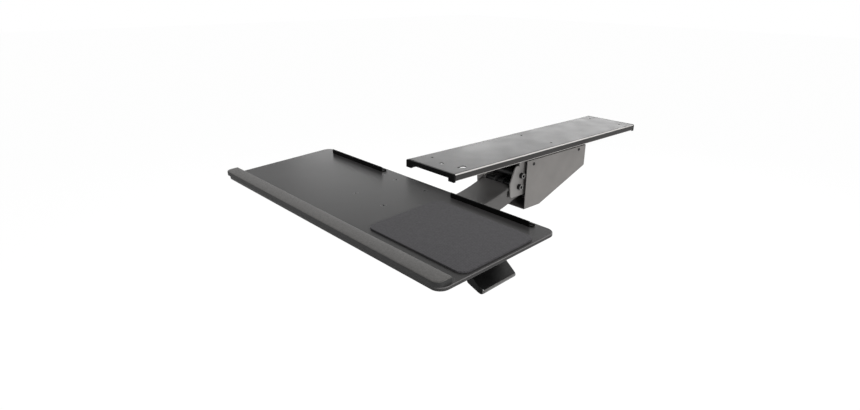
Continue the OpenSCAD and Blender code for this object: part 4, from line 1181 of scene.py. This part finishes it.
@dataclass
class CrossBolts:
    """The cross bolts with their round socket heads, and their nuts."""

    cheek: float = 51
    arm_side: float = 45
    tie: Spot = (-101.7, -55.75)
    main: Spot = (-107.7, -81.05)
    front: Spot = (-405.016, -117.977)
    tilt: Spot = (-408.586, -58.127)
    link: Spot = (-67.7, -111.05)
    link_bar: Spot = (24.7, 28.3)
    collar_end: float = 48
    collar_r: float = 8
    foot_t: float = 2.2
    head_r: float = 6.5
    head_h: float = 8
    head_edge_r: float = 0.7
    head_sides: int = 72
    socket_w: float = 6
    socket_edge_r: float = 0.25
    bolt_r: float = 5
    bolt_end_r: float = 0.8
    nut_w: float = 15
    nut_h: float = 7
    nut_edge_r: float = 1
    end: float = 1

    def build(self) -> None:
        """Builds every bolt at its pivot and the nuts behind them."""
        for name, node, body, place, x in (
                ("tie_bolt", "upper_tie_bolt", "head", self.tie, self.cheek),
                ("pivot_bolt", "main_pivot_bolt", "head", self.main, self.cheek),
                ("arm_front_bolt", "front_pivot_bolt", "arm", self.front, self.arm_side),
                ("tray_tilt_bolt", "tilt_bolt", "tray", self.tilt, self.arm_side)):
            bolt = self.bolt(name, place, x, 2 * x + self.nut_h + self.end)
            if body == "head":
                self.nut(f"{name}_nut", place, -x).mount(body, "black_fastener", "cross_bolt_nuts")
            else:
                bolt.combine(self.nut("nut", place, -x), Joining.ADD).face_out()
            bolt.mount(body, "black_fastener", node)
        self.link_bolts()

    def bolt(self, name: str, place: Spot, x: float, shank: float) -> Piece:
        """Builds a bolt whose head stands on a face.

        Args:
            name: Its name.
            place: Its pivot in side view, (y, z).
            x: Where that face lies across the object.
            shank: Length of its shank behind that face.

        Returns:
            The painted bolt.
        """
        top, radius = x + self.head_h, self.socket_w / math.sqrt(3)
        piece = Piece.rod(name, (x, *place), self.head_h, self.head_r, axis=Axis.X, sides=self.head_sides)
        piece.round(self.head_edge_r, 3, lambda p: p.x > top - NEAR)
        piece.pick(Kind.FACES, lambda p, f: p.x < x + NEAR).inset(self.head_r - self.bolt_r)
        piece.extrude((-shank, 0, 0))
        piece.round(self.bolt_end_r, 2, lambda p: p.x < x - shank + NEAR)
        socket = (top - self.head_h / 2, *place), self.head_h, radius
        piece.combine(Piece.rod("socket", *socket, axis=Axis.X, sides=6))
        piece.pick(Kind.EDGES, lambda p, e: p.x > top - NEAR and math.dist(p.yz, place) < self.socket_w * 0.6)
        piece.bevel(self.socket_edge_r, 2).face_out()
        # The head's flat outer face gets the lighter grey, a painted highlight.
        return piece.paint(FASTENER).paint(BOLT_FACE_HIGHLIGHT, lambda p, f: p.x > top - 0.05 and f.normal.x > FACING)

    def nut(self, name: str, place: Spot, x: float) -> Piece:
        """Builds a hexagonal nut with turned corners behind a face at x."""
        low, radius = x - self.nut_h, self.nut_w / math.sqrt(3)
        piece = Piece.rod(name, (low, *place), self.nut_h, radius, axis=Axis.X, sides=6)
        barrel = Piece.rod("barrel", (low, *place), self.nut_h, radius - 0.15, axis=Axis.X)
        barrel.round(self.nut_edge_r, 2, lambda p: p.x < low + NEAR)
        piece.combine(barrel, Joining.KEEP)
        bore = Piece.rod("bore", (low - OVER, *place), self.nut_h + 2 * OVER, self.bolt_r, axis=Axis.X)
        return piece.combine(bore).face_out().paint(FASTENER)

    def link_bolts(self) -> None:
        """Builds the two shoulder bolts that carry the link, the left one as the right one's mirror image."""
        inner, outer = self.link_bar
        right = self.bolt("link_bolt_right", self.link, self.cheek, self.cheek - inner + OVER)
        collar = Piece.rod("collar", (outer, *self.link), self.collar_end - outer, self.collar_r, axis=Axis.X)
        foot = Piece.rod("foot", (inner - self.foot_t, *self.link), self.foot_t, self.collar_r, axis=Axis.X)
        right.combine(collar, Joining.ADD).combine(foot, Joining.ADD).face_out()
        left = right.copy("link_bolt_left")
        left.thing.scale = (-1, 1, 1)
        left.settle().face_out()
        for piece in (right, left):
            piece.mount("head", "black_fastener", "link_pivot_bolts")


# Arm


@dataclass
class LiftArm:
    """The bowed channel of the arm: two flanges folded down from a web, round at both ends."""

    main: Spot = (-107.7, -81.05)
    front: Spot = (-405.016, -117.977)
    width: float = 90
    sheet: float = 2.5
    depth: float = 36.5
    bow_r: float = 420
    level_y: float = -276.0
    level_z: float = -104.6
    front_r: float = 16
    rear_r: float = 28
    ear_r: float = 12
    web: Spot = (-365.016, -126.0)
    fold_r: float = 3
    edge_r: float = 0.3
    bolt_r: float = 5.1
    slot_size: Spot = (6, 16)
    slot_place: Spot = (-28, -13)

    def build(self) -> None:
        """Folds the arm from its drawn side, hollows it, trims the web and drills it."""
        half, inside = self.width / 2, self.width / 2 - self.sheet
        piece = Piece.prism("arm_channel", side_view(self.side(), -half), (self.width, 0, 0))
        piece.pick(Kind.EDGES, lambda p, e: self.on_top(p) and sharp(e, 60) and not lengthwise(e))
        piece.bevel(self.fold_r, 4)
        piece.combine(Piece.prism("room", side_view(self.room(), -inside), (2 * inside, 0, 0)))
        start, through = -half - OVER, self.width + 2 * OVER
        for pivot in (self.main, self.front):
            piece.combine(Piece.rod("bore", (start, *pivot), through, self.bolt_r, axis=Axis.X))
        y, z = (a + b for a, b in zip(self.main, self.slot_place))
        w, h = self.slot_size
        hole = corners_of((y - w / 2, z - h / 2), (y + w / 2, z + h / 2))
        slot = Piece.prism("slot", side_view(hole, start), (through, 0, 0), w / 2 - REACH, 6)
        piece.combine(slot).face_out()
        piece.round(self.edge_r, 2, lambda p: abs(p.x) > half - NEAR, 70).face_out()
        piece.paint(ARM_PAINT).mount("arm", "arm_paint", "lift_arm")

    def upper(self, y: float, below: float = 0) -> float:
        """Gives the height of the arm's upper edge at a depth y, or of a line below it."""
        if y > self.level_y:
            run = y - self.level_y
            return self.level_z + self.bow_r - math.sqrt((self.bow_r + below) ** 2 - run * run)
        return self.between(y, self.front[1] + self.front_r, self.level_z) - below

    def lower(self, y: float) -> float:
        """Gives the height of the arm's lower edge."""
        if y > self.level_y:
            return self.upper(y, self.depth)
        return self.between(y, self.front[1] - self.front_r, self.level_z - self.depth)

    def between(self, y: float, start: float, end: float) -> float:
        """Gives a height on the straight line from the front pivot's depth to where the bow starts."""
        return start + (end - start) * (y - self.front[0]) / (self.level_y - self.front[0])

    def on_top(self, place: Vector) -> bool:
        """Tells whether a point lies on the upper edge between the ears."""
        return self.front[0] + 8 < place.y < self.main[0] - 14 and abs(place.z - self.upper(place.y)) < 0.5

    def side(self) -> list[Spot]:
        """Gives the outline of a flange, from the front ear over the top to the rear ear and back."""
        steps, front = 26, self.front[0]
        points = arc(self.front, self.front_r, 270, 90, 16)
        span = self.main[0] - 2 - front
        ys = [front + span * i / steps for i in range(1, steps + 1)]
        points += [(y, self.upper(y)) for y in ys if self.upper(y) < self.main[1] + self.ear_r]
        points += arc(self.main, self.ear_r, 100, 0, 8)
        points += arc(self.main, self.rear_r, 0, -78, 8)
        start = self.main[0] - 4
        ys = [start - (start - front) * i / steps for i in range(steps)]
        return points + [(y, self.lower(y)) for y in ys]

    def room(self) -> list[Spot]:
        """Gives the outline of the room between the flanges: all but the web."""
        steps, far, high, low = 24, -500, 0, -260
        first, last = self.web
        ys = [first + (last - first) * i / steps for i in range(steps + 1)]
        under = [(y, self.upper(y, self.sheet)) for y in ys]
        return [(far, high), (first, high), *under, (last, high), (0, high), (0, low), (far, low)]


# Studio


@dataclass(frozen=True)
class Softbox:
    """A soft lamp that faces the object and isn't seen itself. Its place and size are in metres."""

    name: str
    place: Point
    size: Spot
    watts: float

    def hang(self) -> None:
        """Adds the lamp."""
        data = bpy.data.lights.new(self.name, "AREA")
        data.shape = "RECTANGLE"
        data.size, data.size_y = self.size
        data.energy = self.watts
        lamp = bpy.data.objects.new(self.name, data)
        lamp.location = self.place
        lamp.rotation_euler = (-Vector(self.place)).to_track_quat("-Z", "Y").to_euler()
        lamp.visible_camera = False
        bpy.context.scene.collection.objects.link(lamp)


@dataclass
class Studio:
    """Camera, lamps, floor and the white surroundings. Lengths are in metres, angles in degrees."""

    camera_place: Point = (0.83789, -1.09072, 0.34718)
    azimuth: float = 47.812
    elevation: float = 20.891
    roll: float = 0.487
    focal_px: float = 581.14
    picture_px: float = 860
    sensor_mm: float = 36
    floor_z: float = -0.72
    floor_size: float = 30
    floor_grey: float = 0.92
    floor_roughness: float = 0.9
    floor_glow: float = 1.06
    glow_share: float = 0.9
    surround: float = 0.32
    lamps: tuple[Softbox, ...] = (
        Softbox("side_lamp", (1.7, -0.5, 0.5), (1.2, 0.9), 25),
        Softbox("left_rear_lamp", (-2.1, 1.2, 0.42), (1.3, 0.4), 6),
        Softbox("rear_lamp", (-1.35, 2.2, 0.55), (1.5, 0.5), 7),
        Softbox("high_rear_lamp", (0.5, 1.54, 1.18), (0.8, 0.5), 9),
        Softbox("high_left_lamp", (-1.2, -0.6, 1.5), (0.9, 0.9), 9))

    def build(self) -> None:
        """Sets up the whole studio."""
        bpy.context.scene.view_settings.view_transform = "Standard"
        self.place_camera()
        self.light_world()
        self.lay_floor()
        for lamp in self.lamps:
            lamp.hang()

    def place_camera(self) -> None:
        """Puts the camera where the picture was taken from."""
        a, e, r = (math.radians(v) for v in (self.azimuth, self.elevation, self.roll))
        back = Vector((math.sin(a) * math.cos(e), -math.cos(a) * math.cos(e), math.sin(e)))
        right = (-back).cross(Vector((0, 0, 1))).normalized()
        up = right.cross(-back)
        right, up = right * math.cos(r) + up * math.sin(r), up * math.cos(r) - right * math.sin(r)
        data = bpy.data.cameras.new("camera")
        data.sensor_width = self.sensor_mm
        data.lens = self.focal_px / self.picture_px * self.sensor_mm
        data.clip_start, data.clip_end = 0.05, 100
        camera = bpy.data.objects.new("camera", data)
        turn = Matrix((right, up, back)).transposed().to_4x4()
        camera.matrix_world = Matrix.Translation(self.camera_place) @ turn
        bpy.context.scene.collection.objects.link(camera)
        bpy.context.scene.camera = camera

    def light_world(self) -> None:
        """Makes the surroundings white to the camera and to gloss, and softer as a light."""
        sheet = NodeSheet(bpy.data.worlds.new("surroundings"))
        strength = sheet.spread(sheet.seen(), self.surround, 1, 0, 1)
        background = sheet.add("ShaderNodeBackground", {"Color": WHITE, "Strength": strength})
        sheet.add("ShaderNodeOutputWorld", {"Surface": background.outputs["Background"]})
        bpy.context.scene.world = sheet.owner

    def lay_floor(self) -> None:
        """Lays a wide pale floor at room-floor depth below the desk."""
        bpy.ops.mesh.primitive_plane_add(size=self.floor_size, location=(0, 0, self.floor_z))
        floor = bpy.context.object
        floor.name = "floor"
        sheet = PaintSheet("floor_white")
        glow = sheet.add("ShaderNodeEmission", {"Color": WHITE, "Strength": self.floor_glow})
        share = sheet.calculate("MULTIPLY", sheet.seen(), self.glow_share)
        both = {"Fac": share, 1: sheet.shader.outputs["BSDF"], 2: glow.outputs["Emission"]}
        surface = sheet.add("ShaderNodeMixShader", both).outputs["Shader"]
        sheet.feed(sheet.output, {"Surface": surface})
        base = shade((self.floor_grey,) * 3, 1)
        paint = sheet.finish({"Base Color": base, "Roughness": self.floor_roughness})
        floor.data.materials.append(paint)


def dress_frame() -> None:
    """Gives every node of the frame its finish."""
    for finish, names in NODE_FINISH.items():
        for name in names:
            Paintbox.dress(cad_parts[name], finish)
            log.info("dressed %s in %s", name, finish.name)


def write_sizes() -> None:
    """Updates the view layer."""
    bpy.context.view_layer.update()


def main() -> None:
    """Builds the pieces, dresses the frame and sets up the studio."""
    logging.basicConfig(level=logging.INFO, format="%(message)s")
    dress_frame()
    plane = TrayPlane()
    for part in (TrayTop(plane), PalmRest(plane), MousePad(plane), RearStops(plane), LeverGrip(),
                 ReturnSpring(), TrackCaps(), MechanismCover(), CrossBolts(), LiftArm()):
        part.build()
    Studio().build()
    write_sizes()


if __name__ == "__main__":
    main()
